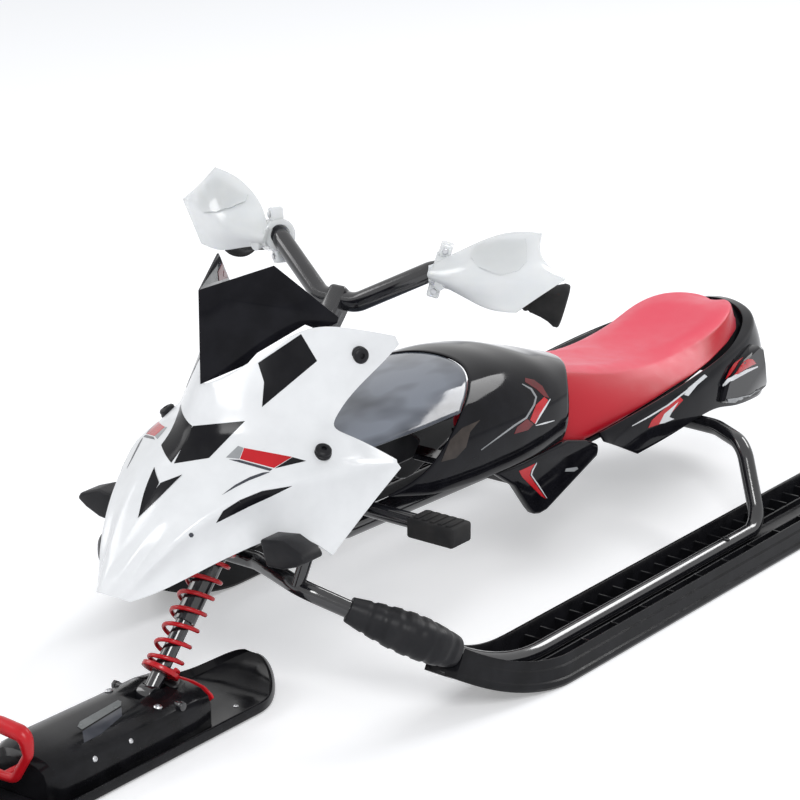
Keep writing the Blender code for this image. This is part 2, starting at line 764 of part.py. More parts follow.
def tail_surface(name, thickness, clear=0.0):
    """Shell round the rear of the seat, its outer face moved out by the clearance."""
    bm = bmesh.new()
    columns = []
    for top, middle, bottom in TAIL_COLUMNS:
        top = Vector(top)
        inward = Vector((-top.x, 0.54 - top.y if top.y > 0.54 else 0.0, 0.0))
        reach = 0.0010 + 0.016 * max(0.0, min(1.0, (top.y - 0.54) / 0.12))
        lip = top + inward.normalized() * reach + Vector((0.0, 0.0, 0.0030))
        if top.x == 0.0:
            lip.x = 0.0
        columns.append([bm.verts.new(point) for point in (lip, top, Vector(middle), Vector(bottom))])
    for one, two in zip(columns, columns[1:]):
        for row in range(3):
            bm.faces.new((one[row], one[row + 1], two[row + 1], two[row]))
    item = mesh_object(name, bm)
    for edge in item.data.edges:
        tall = [item.data.vertices[index].co for index in edge.vertices]
        if all(any((Vector(column[0]) - point).length < 1e-6 for column in TAIL_COLUMNS) for point in tall):
            crease_edge(item, edge.index, 0.55)
    hold_corners(item, [TAIL_COLUMNS[1][2]])
    return finish_shell(item, thickness, 1, Vector((0.0, 0.40, 0.14)), clear)


def tail_cowl():
    """Two side fins, a raised rear lip and a rear wall in one shell."""
    return dress(tail_surface("tail_cowl", TAIL_SHELL), "black_gloss")


def finish_shell(item, thickness, levels, inside, clear=0.0):
    """Mirrors an open half surface, rounds it and gives it a wall towards the inside point."""
    mesh = item.data
    bm = bmesh.new()
    bm.from_mesh(mesh)
    bmesh.ops.recalc_face_normals(bm, faces=bm.faces)
    balance = 0.0
    for face in bm.faces:
        outward = face.calc_center_median() - inside
        balance += face.normal.dot(outward.normalized()) * face.calc_area()
    if balance < 0.0:
        bmesh.ops.reverse_faces(bm, faces=bm.faces)
    bm.to_mesh(mesh)
    bm.free()
    mirror = item.modifiers.new("other_half", "MIRROR")
    mirror.use_clip = True
    mirror.merge_threshold = 0.00005
    soft = item.modifiers.new("soften", "SUBSURF")
    soft.levels = levels
    soft.render_levels = levels
    soft.boundary_smooth = "PRESERVE_CORNERS"
    wall = item.modifiers.new("wall", "SOLIDIFY")
    wall.thickness = thickness + clear
    wall.offset = 2.0 * clear / (thickness + clear) - 1.0
    wall.use_even_offset = False
    return item


def tail_side(y):
    """Half width of the tail cowl's side at a station."""
    spots = [(column[1][1], max(column[1][0], column[2][0])) for column in TAIL_COLUMNS]
    for (y_one, x_one), (y_two, x_two) in zip(spots, spots[1:]):
        if y_one <= y <= y_two:
            return x_one + (x_two - x_one) * (y - y_one) / (y_two - y_one)
    return spots[-1][1]


def tail_block(label, side):
    """Raised block on each rear corner of the cowl, its back cut to the cowl's surface."""
    outline = [(0.5020, 0.1200), (0.5130, 0.1390), (0.5410, 0.1500), (0.5750, 0.1560), (0.6020, 0.1590),
               (0.6220, 0.1510), (0.6360, 0.1280), (0.6475, 0.1000), (0.6440, 0.0960), (0.6000, 0.0990),
               (0.5500, 0.1060), (0.5130, 0.1150)]
    rows = []
    for reach, scale in ((-BLOCK_ROOT, 1.0), (0.0020, 1.0), (0.0052, 0.93)):
        ring = []
        for y, z in outline:
            y_scaled = 0.575 + (y - 0.575) * scale
            z_scaled = 0.127 + (z - 0.127) * scale
            ring.append(((tail_side(y_scaled) + reach) * side, y_scaled, z_scaled))
        rows.append(ring)
    item = mesh_object("tail_block_" + label, loft(rows), smooth=False)
    cut(item, to_mesh(tail_surface("block_back_" + label, BLOCK_ROOT + 0.003, BLOCK_GAP)))
    return dress(item, "black_gloss")


# Fairing
FAIRING_TOP = [
    [(0.000, -0.436, 0.170), (0.000, -0.425, 0.187), (0.000, -0.380, 0.225), (0.000, -0.339, 0.257),
     (0.000, -0.317, 0.276), (0.000, -0.299, 0.294), (0.000, -0.291, 0.330), (0.026, -0.250, 0.346),
     (0.054, -0.200, 0.380), (0.073, -0.163, 0.375), (0.096, -0.105, 0.354)],
    [(0.005, -0.434, 0.168), (0.006, -0.422, 0.187), (0.010, -0.384, 0.225), (0.016, -0.343, 0.255),
     (0.022, -0.315, 0.272), (0.030, -0.288, 0.284), (0.040, -0.270, 0.310), (0.052, -0.232, 0.329),
     (0.064, -0.203, 0.350), (0.080, -0.160, 0.352), (0.098, -0.1045, 0.350)],
]
FAIRING_VALLEY = [
    (0.009, -0.430, 0.166), (0.013, -0.418, 0.185), (0.020, -0.386, 0.223), (0.031, -0.347, 0.252),
    (0.041, -0.315, 0.268), (0.053, -0.283, 0.278), (0.090, -0.201, 0.285)]
FAIRING_FLANK = [(0.095, -0.184, 0.309), (0.100, -0.151, 0.327), (0.101, -0.128, 0.336), (0.100, -0.104, 0.346)]
FAIRING_WING_TOP = [(0.100, -0.164, 0.264), (0.122, -0.137, 0.241)]
FAIRING_WING = [
    [(0.014, -0.424, 0.163), (0.022, -0.412, 0.182), (0.037, -0.388, 0.212), (0.053, -0.357, 0.238),
     (0.070, -0.320, 0.252), (0.087, -0.287, 0.262), (0.104, -0.240, 0.266), (0.116, -0.190, 0.257),
     (0.124, -0.139, 0.239)],
    [(0.020, -0.415, 0.158), (0.030, -0.396, 0.161), (0.040, -0.378, 0.167), (0.056, -0.345, 0.179),
     (0.075, -0.305, 0.192), (0.098, -0.263, 0.202), (0.120, -0.236, 0.172), (0.126, -0.184, 0.209),
     (0.128, -0.138, 0.234)],
]
FAIRING_SPIKE = 6


def fairing():
    """Beaked nose shell: centre ridge, valley, swept lower wing with a spike, and tall flanks."""
    bm = bmesh.new()
    top = [[bm.verts.new(point) for point in row] for row in FAIRING_TOP]
    valley = [bm.verts.new(point) for point in FAIRING_VALLEY]
    flank = [bm.verts.new(point) for point in FAIRING_FLANK]
    wing_top = [bm.verts.new(point) for point in FAIRING_WING_TOP]
    wing = [[bm.verts.new(point) for point in row] for row in FAIRING_WING]
    upper_rows = top + [valley + flank]
    lower_rows = [valley + wing_top] + wing
    for rows in (upper_rows, lower_rows):
        for lower, upper in zip(rows, rows[1:]):
            for index in range(len(lower) - 1):
                bm.faces.new((lower[index], lower[index + 1], upper[index + 1], upper[index]))
    bm.verts.index_update()
    creased = {}
    for chain, value in ((valley, 0.55), (wing[0], 0.35), (top[0][:7], 0.25)):
        for first, second in zip(chain, chain[1:]):
            creased[frozenset((first.index, second.index))] = value
    item = mesh_object("fairing", bm)
    for edge in item.data.edges:
        value = creased.get(frozenset(edge.vertices))
        if value is not None:
            crease_edge(item, edge.index, value)
    hold_corners(item, [FAIRING_WING[1][FAIRING_SPIKE]])
    finish_shell(item, SHELL, 1, Vector((0.0, -0.20, 0.22)))
    for label, side in sides():
        for level in FAIRING_SCREWS:
            start, push = screw_line(level, side)
            name = "fairing_hole_%s_%s" % (level, label)
            cut(item, cylinder(name, start - push * 0.012, start + push * 0.012, SCREW_R + GAP, 20))
    return dress(item, "white_gloss")


def windscreen():
    """Two flat panels meeting in an upright centre edge."""
    lean = 0.51
    outline = [(0.0, SCREEN_FOOT), (0.0, 0.4270), (0.0358, 0.4405), (0.0662, 0.3800), (0.0655, 0.3745),
               (0.0575, 0.3690), (0.0500, 0.3775), (0.0270, 0.3560), (0.0220, 0.3460)]
    bm = bmesh.new()
    front = -0.2855
    verts = [bm.verts.new((x, front + x / lean, z)) for x, z in outline]
    bm.faces.new(verts)
    item = mesh_object("windscreen", bm, smooth=False)
    finish_shell(item, 0.0022, 0, Vector((0.0, -0.10, 0.38)))
    return dress(item, "black_gloss")


# Tank
TANK_STATIONS = [
    (-0.170, 0.076, 0.2500, 0.1950), (-0.100, 0.090, 0.2580, 0.1820), (-0.030, 0.098, 0.2640, 0.1650),
    (0.050, 0.101, 0.2670, 0.1590), (0.120, 0.101, 0.2640, 0.1565), (0.180, 0.097, 0.2540, 0.1565),
    (0.230, 0.089, 0.2370, 0.1560), (0.296, 0.082, 0.2150, 0.1545),
]
TANK_SECTION = [(0.0, 1.0), (0.25, 0.990), (0.48, 0.955), (0.70, 0.875), (0.86, 0.74), (0.96, 0.54), (1.0, 0.30),
                (0.985, 0.12), (0.930, 0.0)]


def tank_level(y, column):
    """Blends a tank measure between stations."""
    stations = TANK_STATIONS
    if y <= stations[0][0]:
        return stations[0][column]
    for before, after in zip(stations, stations[1:]):
        if y <= after[0]:
            share = (y - before[0]) / (after[0] - before[0])
            smooth = share * share * (3.0 - 2.0 * share)
            mixed = 0.5 * share + 0.5 * smooth
            return before[column] + (after[column] - before[column]) * mixed
    return stations[-1][column]


def tank_point(y, row, shrink=0.0):
    across_share, up_share = TANK_SECTION[row]
    wide = tank_level(y, 1) - shrink
    top = tank_level(y, 2) - shrink
    low = tank_level(y, 3)
    return Vector((wide * across_share, y, low + (top - low) * up_share))


PANEL_FRONT = [-0.124, -0.128, -0.145, -0.158, -0.166]
TANK_FRONT = [0.097, 0.094, 0.082, 0.056, 0.022, -0.012, -0.048, -0.078, -0.100]
TANK_REAR = [0.296, 0.288, 0.268, 0.246, 0.226, 0.214, 0.207, 0.204, 0.204]


def tank_cover():
    """Rear and side shell of the tank, its front edge raked forward."""
    bm = bmesh.new()
    columns = []
    for step in range(10):
        share = step / 9.0
        column = []
        for row in range(9):
            y = TANK_FRONT[row] + (TANK_REAR[row] - TANK_FRONT[row]) * share
            column.append(bm.verts.new(tank_point(y, row)))
        columns.append(column)
    for one, two in zip(columns, columns[1:]):
        for row in range(8):
            bm.faces.new((one[row], one[row + 1], two[row + 1], two[row]))
    item = mesh_object("tank_cover", bm)
    finish_shell(item, SHELL, 0, Vector((0.0, 0.10, 0.19)))
    return dress(item, "black_gloss")


def tank_front_panel():
    """Top panel in front of the tank cover, running in under the fairing."""
    bm = bmesh.new()
    columns = []
    for step in range(7):
        share = step / 6.0
        column = []
        for row in range(5):
            front = PANEL_FRONT[row]
            rear = TANK_FRONT[row] - 0.0022
            y = front + (rear - front) * share
            column.append(bm.verts.new(tank_point(y, row, 0.0012)))
        columns.append(column)
    for one, two in zip(columns, columns[1:]):
        for row in range(4):
            bm.faces.new((one[row], one[row + 1], two[row + 1], two[row]))
    item = mesh_object("tank_front_panel", bm)
    finish_shell(item, SHELL, 0, Vector((0.0, -0.05, 0.19)))
    return dress(item, "grey_gloss")


def side_panel(label, side):
    """Fin below the tank on each side."""
    outline = [(0.071, tank_level(0.071, 3) - TANK_SEAT), (0.106, 0.1340), (0.133, 0.1010), (0.142, 0.0915),
               (0.153, 0.0885), (0.166, 0.0890), (0.262, 0.1225), (0.264, 0.1290), (0.2635, 0.1355),
               (0.240, 0.1470), (0.205, tank_level(0.190, 3) - TANK_SEAT),
               (0.120, tank_level(0.120, 3) - TANK_SEAT)]
    low, high = sorted((0.0840 * side, 0.0940 * side))
    item = prism("side_panel_" + label, outline, low, high)
    add_bevel(item, 0.0022, 1)
    return dress(item, "black_gloss")


def panel_brace():
    """Flat bar saddled on the spine; it carries both side panels."""
    item = box_object("panel_brace", (-0.0837, 0.135, 0.1215), (0.0837, 0.160, 0.1290), 0.0008, 1)
    return dress(spine_saddle(item, "brace_saddle"), "black_paint")


def fairing_bracket():
    """Inner carrier between spine, tank panel and fairing."""
    outline = [(-0.150, 0.1930), (-0.020, 0.1930), (-0.006, 0.2100), (-0.030, 0.2280), (-0.110, 0.2270),
               (-0.158, 0.2150)]
    item = prism("fairing_bracket", outline, -0.0560, 0.0560)
    add_bevel(item, 0.0030, 1)
    foot = [(-0.152, 0.1600), (-0.096, 0.1400), (-0.096, 0.1960), (-0.152, 0.1960)]
    cut(item, prism("bracket_foot", foot, -0.0100, 0.0100), "UNION")
    drop = SHELL + 0.0028
    pad = [(-0.106, tank_level(-0.106, 2) - drop), (-0.106, 0.2200), (-0.034, 0.2200),
           (-0.034, tank_level(-0.034, 2) - drop)]
    cut(item, prism("bracket_pad", pad, -0.0220, 0.0220), "UNION")
    spine_saddle(item, "bracket_spine_clear")
    cut(item, to_mesh(tube("bracket_foot_bar_clear", foot_bar_path(), FOOT_BAR_R + 2 * GAP, 2)))
    cut(item, cylinder("bracket_head_clear", on_axis(0.08), on_axis(0.40), HEAD_R + 0.004, 32))
    return dress(item, "black_plastic")


def stay_end(side):
    """Place where the lower fairing screw meets the stay."""
    start, push = screw_line("lower", side)
    return start - push * STAY_DEPTH


def fairing_stay():
    """Bent rod in front of the head tube, with an eye for each lower fairing screw."""
    front = Vector((0.0, -AXIS.z, AXIS.y))
    middle = on_axis(0.245) + front * (HEAD_R + STAY_R - 0.0015)
    left = [stay_end(1.0) + Vector((-0.0020, 0.0, 0.0)), middle + Vector((0.030, 0.0, 0.0))]
    path = rounded_path(left + across(reversed(left), -1.0), 0.030, 3)
    item = to_mesh(tube("fairing_stay", path, STAY_R, 2))
    for label, side in sides():
        start, push = screw_line("lower", side)
        eye = stay_end(side)
        cut(item, cylinder("stay_eye_" + label, eye - push * STAY_R, eye + push * STAY_R, 0.0070, 16), "UNION")
        cut(item, cylinder("stay_bore_" + label, eye - push * 0.02, eye + push * 0.02, SHANK_R + GAP, 12))
    cut(item, cylinder("stay_cope", on_axis(0.20), on_axis(0.30), HEAD_R + GAP, 32))
    return dress(sharpen(item), "black_paint")


# Steering parts
def steerer_tube():
    profile = [(STEERER_R, STEERER_HIGH), (STEERER_R, STEERER_LOW), (STEERER_BORE, STEERER_LOW),
               (STEERER_BORE, STEERER_HIGH)]
    return dress(along_axis(turned("steerer_tube", profile, 20)), "black_paint")


def upper_spring_seat():
    """Collar on the steerer that the coil pushes against."""
    bore = STEERER_R + GAP
    low = UPPER_SEAT_AT
    profile = [(SEAT_DISC_R, low + 0.0045), (SEAT_DISC_R, low), (bore, low), (bore, low + 0.0100),
               (0.0150, low + 0.0100), (0.0150, low + 0.0045)]
    return dress(along_axis(turned("upper_spring_seat", profile, 20)), "black_plastic")


def bar_axis():
    """Direction of the left grip."""
    return (BAR_TIP - BAR_CORNER).normalized()


BAR_CENTRE = FOOT + AXIS * BAR_AT


def handlebar():
    """Gull wing bar: level in the clamp, rising outwards, then dropping back to the grips."""
    left = [Vector((0.022, BAR_CENTRE.y, BAR_CENTRE.z)), BAR_CORNER, BAR_TIP]
    path = rounded_path(across(reversed(left), -1.0) + left, 0.026, 4)
    return dress(tube("handlebar", path, BAR_R, 2), "black_paint")


def stem_clamp():
    """Block round the middle of the bar, on top of the steerer."""
    half = 0.0130
    item = box_object("stem_clamp", (-half, -0.0150, -0.0320), (half, 0.0150, 0.0140))
    along_axis(item, BAR_AT)
    item = to_mesh(item, smooth=False)
    add_bevel(item, 0.0030, 2)
    bar = BAR_CENTRE
    reach = half + 0.01
    cut(item, cylinder("clamp_bar_bore", (-reach, bar.y, bar.z), (reach, bar.y, bar.z), BAR_R + GAP, 24))
    cut(item, cylinder("clamp_steerer_bore", on_axis(0.360), on_axis(STEERER_HIGH + 0.0005), STEERER_R + GAP, 24))
    return dress(sharpen(item), "black_paint")


def grip(label, side):
    """Soft grip with rings and a wide end flange."""
    axis = bar_axis()
    bore = BAR_R + GAP
    length = 0.088
    profile = [(0.0, 0.0), (0.0190, 0.0), (0.0220, 0.0010), (0.0222, 0.0060), (0.0205, 0.0090), (0.0165, 0.0200),
               (0.0150, 0.0300)]
    for index in range(3):
        low = 0.038 + index * 0.014
        profile += [(0.0150, low), (0.0138, low + 0.0015), (0.0138, low + 0.0035), (0.0150, low + 0.0050)]
    profile += [(0.0150, length - 0.002), (0.0135, length), (bore, length), (bore, 0.0035), (0.0, 0.0035)]
    item = turned("grip_" + label, profile, 16)
    end = across([BAR_TIP + axis * 0.0040], side)[0]
    back = across([-axis], side)[0]
    item.rotation_mode = "QUATERNION"
    item.rotation_quaternion = back.to_track_quat("Z", "Y")
    item.location = end
    return dress(item, "dark_rubber")


def guard_clamp(label, side):
    """Ring round the bar beside the grip."""
    axis = bar_axis()
    start = across([BAR_CORNER + axis * 0.0130], side)[0]
    bore = BAR_R + GAP
    outer = 0.0165
    profile = [(outer, 0.0120), (outer, 0.0), (bore, 0.0), (bore, 0.0120)]
    item = turned("guard_clamp_" + label, profile, 20)
    item.rotation_mode = "QUATERNION"
    item.rotation_quaternion = across([axis], side)[0].to_track_quat("Z", "Y")
    item.location = start
    item = to_mesh(item)
    root = across([BAR_CORNER + axis * 0.0190 + Vector((0.0, -0.0140, -0.0030))], side)[0]
    tip = root + Vector((0.0, -LUG_REACH, -0.0020))
    cut(item, cylinder("guard_lug_" + label, root, tip, 0.0050, 12), "UNION")
    return dress(sharpen(item), "white_clear")


GUARD_ROWS = [
    [(0.094, -0.055, 0.416), (0.130, -0.030, 0.437), (0.168, -0.022, 0.455), (0.206, -0.016, 0.457)],
    [(0.094, -0.066, 0.406), (0.132, -0.068, 0.422), (0.172, -0.062, 0.437), (0.214, -0.036, 0.438)],
    [(0.096, -0.066, 0.395), (0.136, -0.074, 0.402), (0.180, -0.068, 0.408), (0.242, -0.027, 0.419)],
    [(0.100, -0.056, 0.386), (0.138, -0.056, 0.383), (0.170, -0.053, 0.382), (0.199, -0.049, 0.386)],
]
GUARD_TIP = GUARD_ROWS[2][3]


def hand_guard(label, side):
    """Cupped shield in front of the hand."""
    bm = bmesh.new()
    rows = [[bm.verts.new(point) for point in across(row, side)] for row in GUARD_ROWS]
    for lower, upper in zip(rows, rows[1:]):
        for index in range(len(lower) - 1):
            bm.faces.new((lower[index], lower[index + 1], upper[index + 1], upper[index]))
    item = mesh_object("hand_guard_" + label, bm)
    hold_corners(item, across([GUARD_TIP], side))
    finish_shell(item, 0.0024, 1, Vector((0.160 * side, 0.020, 0.400)))
    item.modifiers.remove(item.modifiers["other_half"])
    return dress(item, "white_clear")


# Fork parts
def fork_leg():
    """Rod that slides in the steerer, with the ski eye at its foot."""
    item = cylinder("fork_leg", on_axis(-PIVOT_DOWN), on_axis(LEG_HIGH), LEG_R, 16)
    pivot = on_axis(-PIVOT_DOWN)
    half = Vector((EYE_HALF, 0.0, 0.0))
    cut(item, cylinder("leg_eye", pivot - half, pivot + half, EYE_R, 20), "UNION")
    cut(item, cylinder("leg_pin_bore", pivot - Vector((0.02, 0, 0)), pivot + Vector((0.02, 0, 0)), PIN_R + GAP, 16))
    return dress(sharpen(item), "black_paint")


def lower_spring_seat():
    bore = LEG_R + GAP
    profile = [(SEAT_DISC_R, 0.0015), (SEAT_DISC_R, -0.0035), (bore, -0.0035), (bore, 0.0015)]
    item = turned("lower_spring_seat", profile, 20)
    return dress(along_axis(item), "red_paint")


def fork_spring():
    """Open coil with its last half turn at each end closed down to the seats."""
    low = 0.0015 + GAP + COIL_WIRE_R
    high = UPPER_SEAT_AT - GAP - COIL_WIRE_R
    ends = 0.75
    flat_rise = (2.0 * COIL_WIRE_R + 0.0006) * ends
    middle_turns = COIL_TURNS - 2.0 * ends
    pitch = (high - low - 2.0 * flat_rise) / middle_turns
    total = int(COIL_TURNS * COIL_POINTS_PER_TURN)
    path = []
    for index in range(total + 1):
        turns = COIL_TURNS * index / total
        if turns < ends:
            height = low + flat_rise * turns / ends
        elif turns > COIL_TURNS - ends:
            height = high - flat_rise * (COIL_TURNS - turns) / ends
        else:
            height = low + flat_rise + pitch * (turns - ends)
        angle = 2.0 * math.pi * turns
        path.append(Vector((COIL_MEAN_R * math.cos(angle), COIL_MEAN_R * math.sin(angle), height)))
    straight = 2.0 * COIL_WIRE_R
    path.insert(0, path[0] - (path[1] - path[0]).normalized() * straight)
    path.append(path[-1] + (path[-1] - path[-2]).normalized() * straight)
    print("fork spring least gap to itself %.4f m" % least_gap(path, COIL_WIRE_R, COIL_POINTS_PER_TURN))
    item = tube("fork_spring", path, COIL_WIRE_R, 1)
    return dress(along_axis(item), "red_paint")


def least_gap(path, radius, neighbours):
    """Smallest space between parts of one wire that aren't neighbours, measured on points between the corners."""
    fine = []
    for first, second in zip(path, path[1:]):
        for step in range(4):
            fine.append(first.lerp(second, step / 4.0))
    fine.append(path[-1])
    skip = neighbours * 2
    best = 1.0
    for index, point in enumerate(fine):
        for other in range(index + skip, len(fine)):
            best = min(best, (fine[other] - point).length - 2.0 * radius)
    return best


def ski_pin():
    """Bolt through the housing walls and the eye, with a head and a nut."""
    pivot = on_axis(-PIVOT_DOWN)
    reach = HOUSING_HALF + 0.0008
    shaft = cylinder("pin_shaft", pivot - Vector((reach, 0, 0)), pivot + Vector((reach, 0, 0)), PIN_R, 20)
    inner = Vector((reach - 0.0004, 0.0, 0.0))
    outer = Vector((reach + 0.0045, 0.0, 0.0))
    head = cylinder("pin_head", pivot + inner, pivot + outer, 0.0075, 20)
    nut = cylinder("pin_nut", pivot - outer, pivot - inner, 0.0075, 6)
    cut(shaft, head, "UNION")
    cut(shaft, nut, "UNION")
    shaft.name = "ski_pin"
    return dress(sharpen(shaft), "zinc")


# Front ski
def ski_base(y):
    """Height and slope of the front ski's base: short curl at the rear, long curl at the tip."""
    if y > -0.258:
        rise = y + 0.258
        radius = 0.062
        return radius - math.sqrt(max(radius * radius - rise * rise, 0.0)), rise / radius
    if y < FRONT_CURL_START:
        rise = FRONT_CURL_START - y
        return FRONT_CURL_R - math.sqrt(max(FRONT_CURL_R ** 2 - rise * rise, 0.0)), -rise / FRONT_CURL_R
    return 0.0, 0.0


def front_half(y):
    rear = -0.206
    if y > -0.275:
        share = (y + 0.275) / (rear + 0.275)
        return FRONT_SKI_HALF * math.sqrt(max(1.0 - share ** 2.3, 0.0)) + 0.0030
    if y < FRONT_TAPER_START:
        share = min((FRONT_TAPER_START - y) / (HALF_LENGTH + FRONT_TAPER_START), 1.0)
        return FRONT_SKI_HALF * math.sqrt(max(1.0 - share ** 2.2, 0.0)) + 0.0030
    return FRONT_SKI_HALF


def front_station(y):
    height, sine = ski_base(y)
    cosine = math.sqrt(1.0 - sine * sine)
    half = min(front_half(y), FRONT_SKI_HALF)
    lip = min(0.006, half * 0.3)
    section = [(half - 0.0035, 0.0), (half, 0.0030), (half, 0.0125), (half - 0.35 * lip, 0.0130),
               (half - lip, FRONT_SKI_TOP + 0.0004), (0.30 * half, FRONT_SKI_TOP)]
    ring = [(x, z) for x, z in section] + [(-x, z) for x, z in reversed(section)]
    return [(x, y - z * sine, height + z * cosine) for x, z in ring]


def front_ski():
    """Wide single ski with raised edges, rounded and curled at both ends."""
    rear = [-0.2065, -0.2080, -0.2120, -0.2190, -0.2280, -0.2400, -0.2580, -0.2750]
    shares = (0.0, 0.25, 0.50, 0.70, 0.84, 0.93, 0.985, 1.0)
    front = [FRONT_CURL_START - share * FRONT_CURL_REACH for share in shares]
    item = mesh_object("front_ski", loft([front_station(y) for y in rear + front]))
    return dress(sharpen(item, 40.0), "black_plastic")


def housing_section(y, half, top):
    low = FRONT_SKI_TOP + 0.0008
    points = [(half, low), (half, top - 0.016), (half - 0.003, top - 0.008), (half - 0.012, top - 0.0025),
              (0.35 * half, top)]
    ring = points + [(-x, z) for x, z in reversed(points)]
    return [(x, y, z) for x, z in ring]


def reel_housing():
    """Casing on the front ski: strut pocket at the rear, tow reel inside, rope port in front."""
    stations = [
        (HOUSING_REAR, 0.0385, 0.0400), (HOUSING_REAR - 0.006, 0.0430, 0.0455),
        (HOUSING_REAR - 0.030, 0.0450, 0.0480),
        (-0.400, HOUSING_HALF, HOUSING_TOP), (-0.500, HOUSING_HALF, 0.0500), (-0.532, 0.0430, 0.0500),
        (HOUSING_FRONT + 0.006, 0.0390, 0.0470), (HOUSING_FRONT, 0.0330, 0.0420)]
    item = mesh_object("reel_housing", loft([housing_section(*station) for station in stations]))
    pivot = on_axis(-PIVOT_DOWN)
    cut(item, cylinder("housing_pocket", on_axis(-0.0125), on_axis(0.060), POCKET_R, 24))
    cut(item, box_object("housing_slot", (-0.0092, pivot.y - 0.0240, 0.0285), (0.0092, pivot.y + 0.0330, 0.0700)))
    half = Vector((0.06, 0.0, 0.0))
    cut(item, cylinder("housing_pin_bore", pivot - half, pivot + half, PIN_R + GAP, 16))
    ring = [(0.0350, 0.0400), (0.0350, -0.0100), (0.0068, -0.0100), (0.0068, 0.0400)]
    cavity = to_mesh(turned("housing_reel_space", ring, 28))
    cavity.location = (0.0, REEL_Y, 0.0)
    cut(item, cavity)
    port = [(0.0, REEL_Y - 0.020, TOW_PORT_Z), (0.0, HOUSING_FRONT - 0.02, TOW_PORT_Z)]
    cut(item, cylinder("housing_port", port[0], port[1], 0.0042, 12))
    return dress(sharpen(item, 38.0), "black_plastic")


def housing_trim():
    """Red plate on the rear face of the housing."""
    ring_rear = housing_section(HOUSING_REAR + 0.0040, 0.0400, 0.0430)
    ring_front = housing_section(HOUSING_REAR + 0.0010, 0.0400, 0.0430)
    item = mesh_object("housing_trim", loft([ring_rear, ring_front]), smooth=False)
    return dress(item, "red_paint")


def tow_reel():
    """Drum with two flanges on the housing's inner post."""
    bore = 0.0068 + 0.0004
    profile = [(REEL_R, 0.0330), (REEL_R, 0.0312), (0.0180, 0.0300), (0.0180, 0.0130), (REEL_R, 0.0118),
               (REEL_R, 0.0100), (bore, 0.0100), (bore, 0.0330)]
    item = turned("tow_reel", profile, 20)
    item.location = (0.0, REEL_Y, 0.0)
    return dress(item, "black_plastic")


def tow_handle():
    """Stirrup handle: thick grip on top, legs running down to a boss, and a short stem into the port."""
    corners = [(0.0, TOW_Y, TOW_PORT_Z), (0.0150, TOW_Y, TOW_PORT_Z + 0.001), (0.0330, TOW_Y, 0.0640),
               (0.0300, TOW_Y, 0.0830),
               (0.0, TOW_Y, 0.0850)]
    left = rounded_path(corners, 0.010, 3)
    right = across(reversed(left[1:-1]), -1.0)
    path = left + right
    radii = []
    for point in path:
        lift = max(0.0, min(1.0, (point.z - 0.060) / 0.022))
        radii.append(0.0055 + 0.0038 * lift)
    curve = bpy.data.curves.new("tow_handle", "CURVE")
    curve.dimensions = "3D"
    curve.bevel_depth = 0.0055
    curve.bevel_resolution = 2
    spline = curve.splines.new("POLY")
    spline.points.add(len(path) - 1)
    spline.use_cyclic_u = True
    for index, point in enumerate(path):
        spline.points[index].co = (*point, 1.0)
        spline.points[index].radius = radii[index] / 0.0055
    item = bpy.data.objects.new("tow_handle", curve)
    bpy.context.scene.collection.objects.link(item)
    item = to_mesh(item)
    stem = cylinder("tow_stem", (0.0, TOW_Y, TOW_PORT_Z), (0.0, HOUSING_FRONT + 0.022, TOW_PORT_Z), 0.0036, 10)
    cut(item, stem, "UNION")
    return dress(item, "red_paint")


def screw_line(level, side):
    """Place on the fairing and outward direction of one of its screws."""
    place, direction = FAIRING_SCREWS[level]
    start = Vector((place[0] * side, place[1], place[2]))
    return start, Vector((direction[0] * side, direction[1], direction[2])).normalized()


def fairing_screw(level, label, side):
    """Round black screw through a hole in the flank; the lower one reaches the stay."""
    start, push = screw_line(level, side)
    name = "fairing_screw_%s_%s" % (level, label)
    item = cylinder(name, start - push * 0.0060, start + push * 0.0022, SCREW_R, 16)
    depth = STAY_DEPTH + STAY_R if level == "lower" else 0.0120
    shank = cylinder(name + "_shank", start - push * depth, start - push * 0.0050, SHANK_R, 10)
    return dress(cut(item, shank, "UNION"), "black_plastic")


FAIRING_SCREWS = {
    "upper": ((0.0900, -0.152, 0.345), (0.90, -0.42, 0.10)),
    "lower": ((0.0985, -0.222, 0.270), (0.45, -0.25, 0.86)),
}


# Build order: chassis
rear_hoop()
front_hoop()
for label, side in sides():
    rear_ski(label, side)
    boot(label, side)
    foot_pad(label, side)
    front_peg(label, side)
    peg_post(label, side)
    tail_block(label, side)
    side_panel(label, side)
    for level in ("upper", "lower"):
        fairing_screw(level, label, side)
head_tube()
head_bearing("head_bearing_lower", HEAD_LOW - GAP, HEAD_LOW + 0.012, HEAD_LOW - 0.0035, HEAD_LOW)
head_bearing("head_bearing_upper", HEAD_HIGH - 0.012, HEAD_HIGH + GAP, HEAD_HIGH, HEAD_HIGH + 0.0035)
spine_tube()
head_gusset()
seat_bracket("seat_bracket_rear", HOOP_REAR_Y - 0.070, HOOP_REAR_Y - 0.030)
seat_bracket("seat_bracket_front", 0.270, 0.300)
foot_bar()
seat_cushion()
seat_pan()
tail_cowl()
fairing()
windscreen()
fairing_bracket()
fairing_stay()
tank_cover()
tank_front_panel()
panel_brace()

# Build order: steering
steerer_tube()
upper_spring_seat()
stem_clamp()
handlebar()
for label, side in sides():
    grip(label, side)
    guard_clamp(label, side)
    hand_guard(label, side)

# Build order: fork and front ski
fork_leg()
lower_spring_seat()
fork_spring()
front_ski()
reel_housing()
housing_trim()
ski_pin()
tow_reel()
tow_handle()

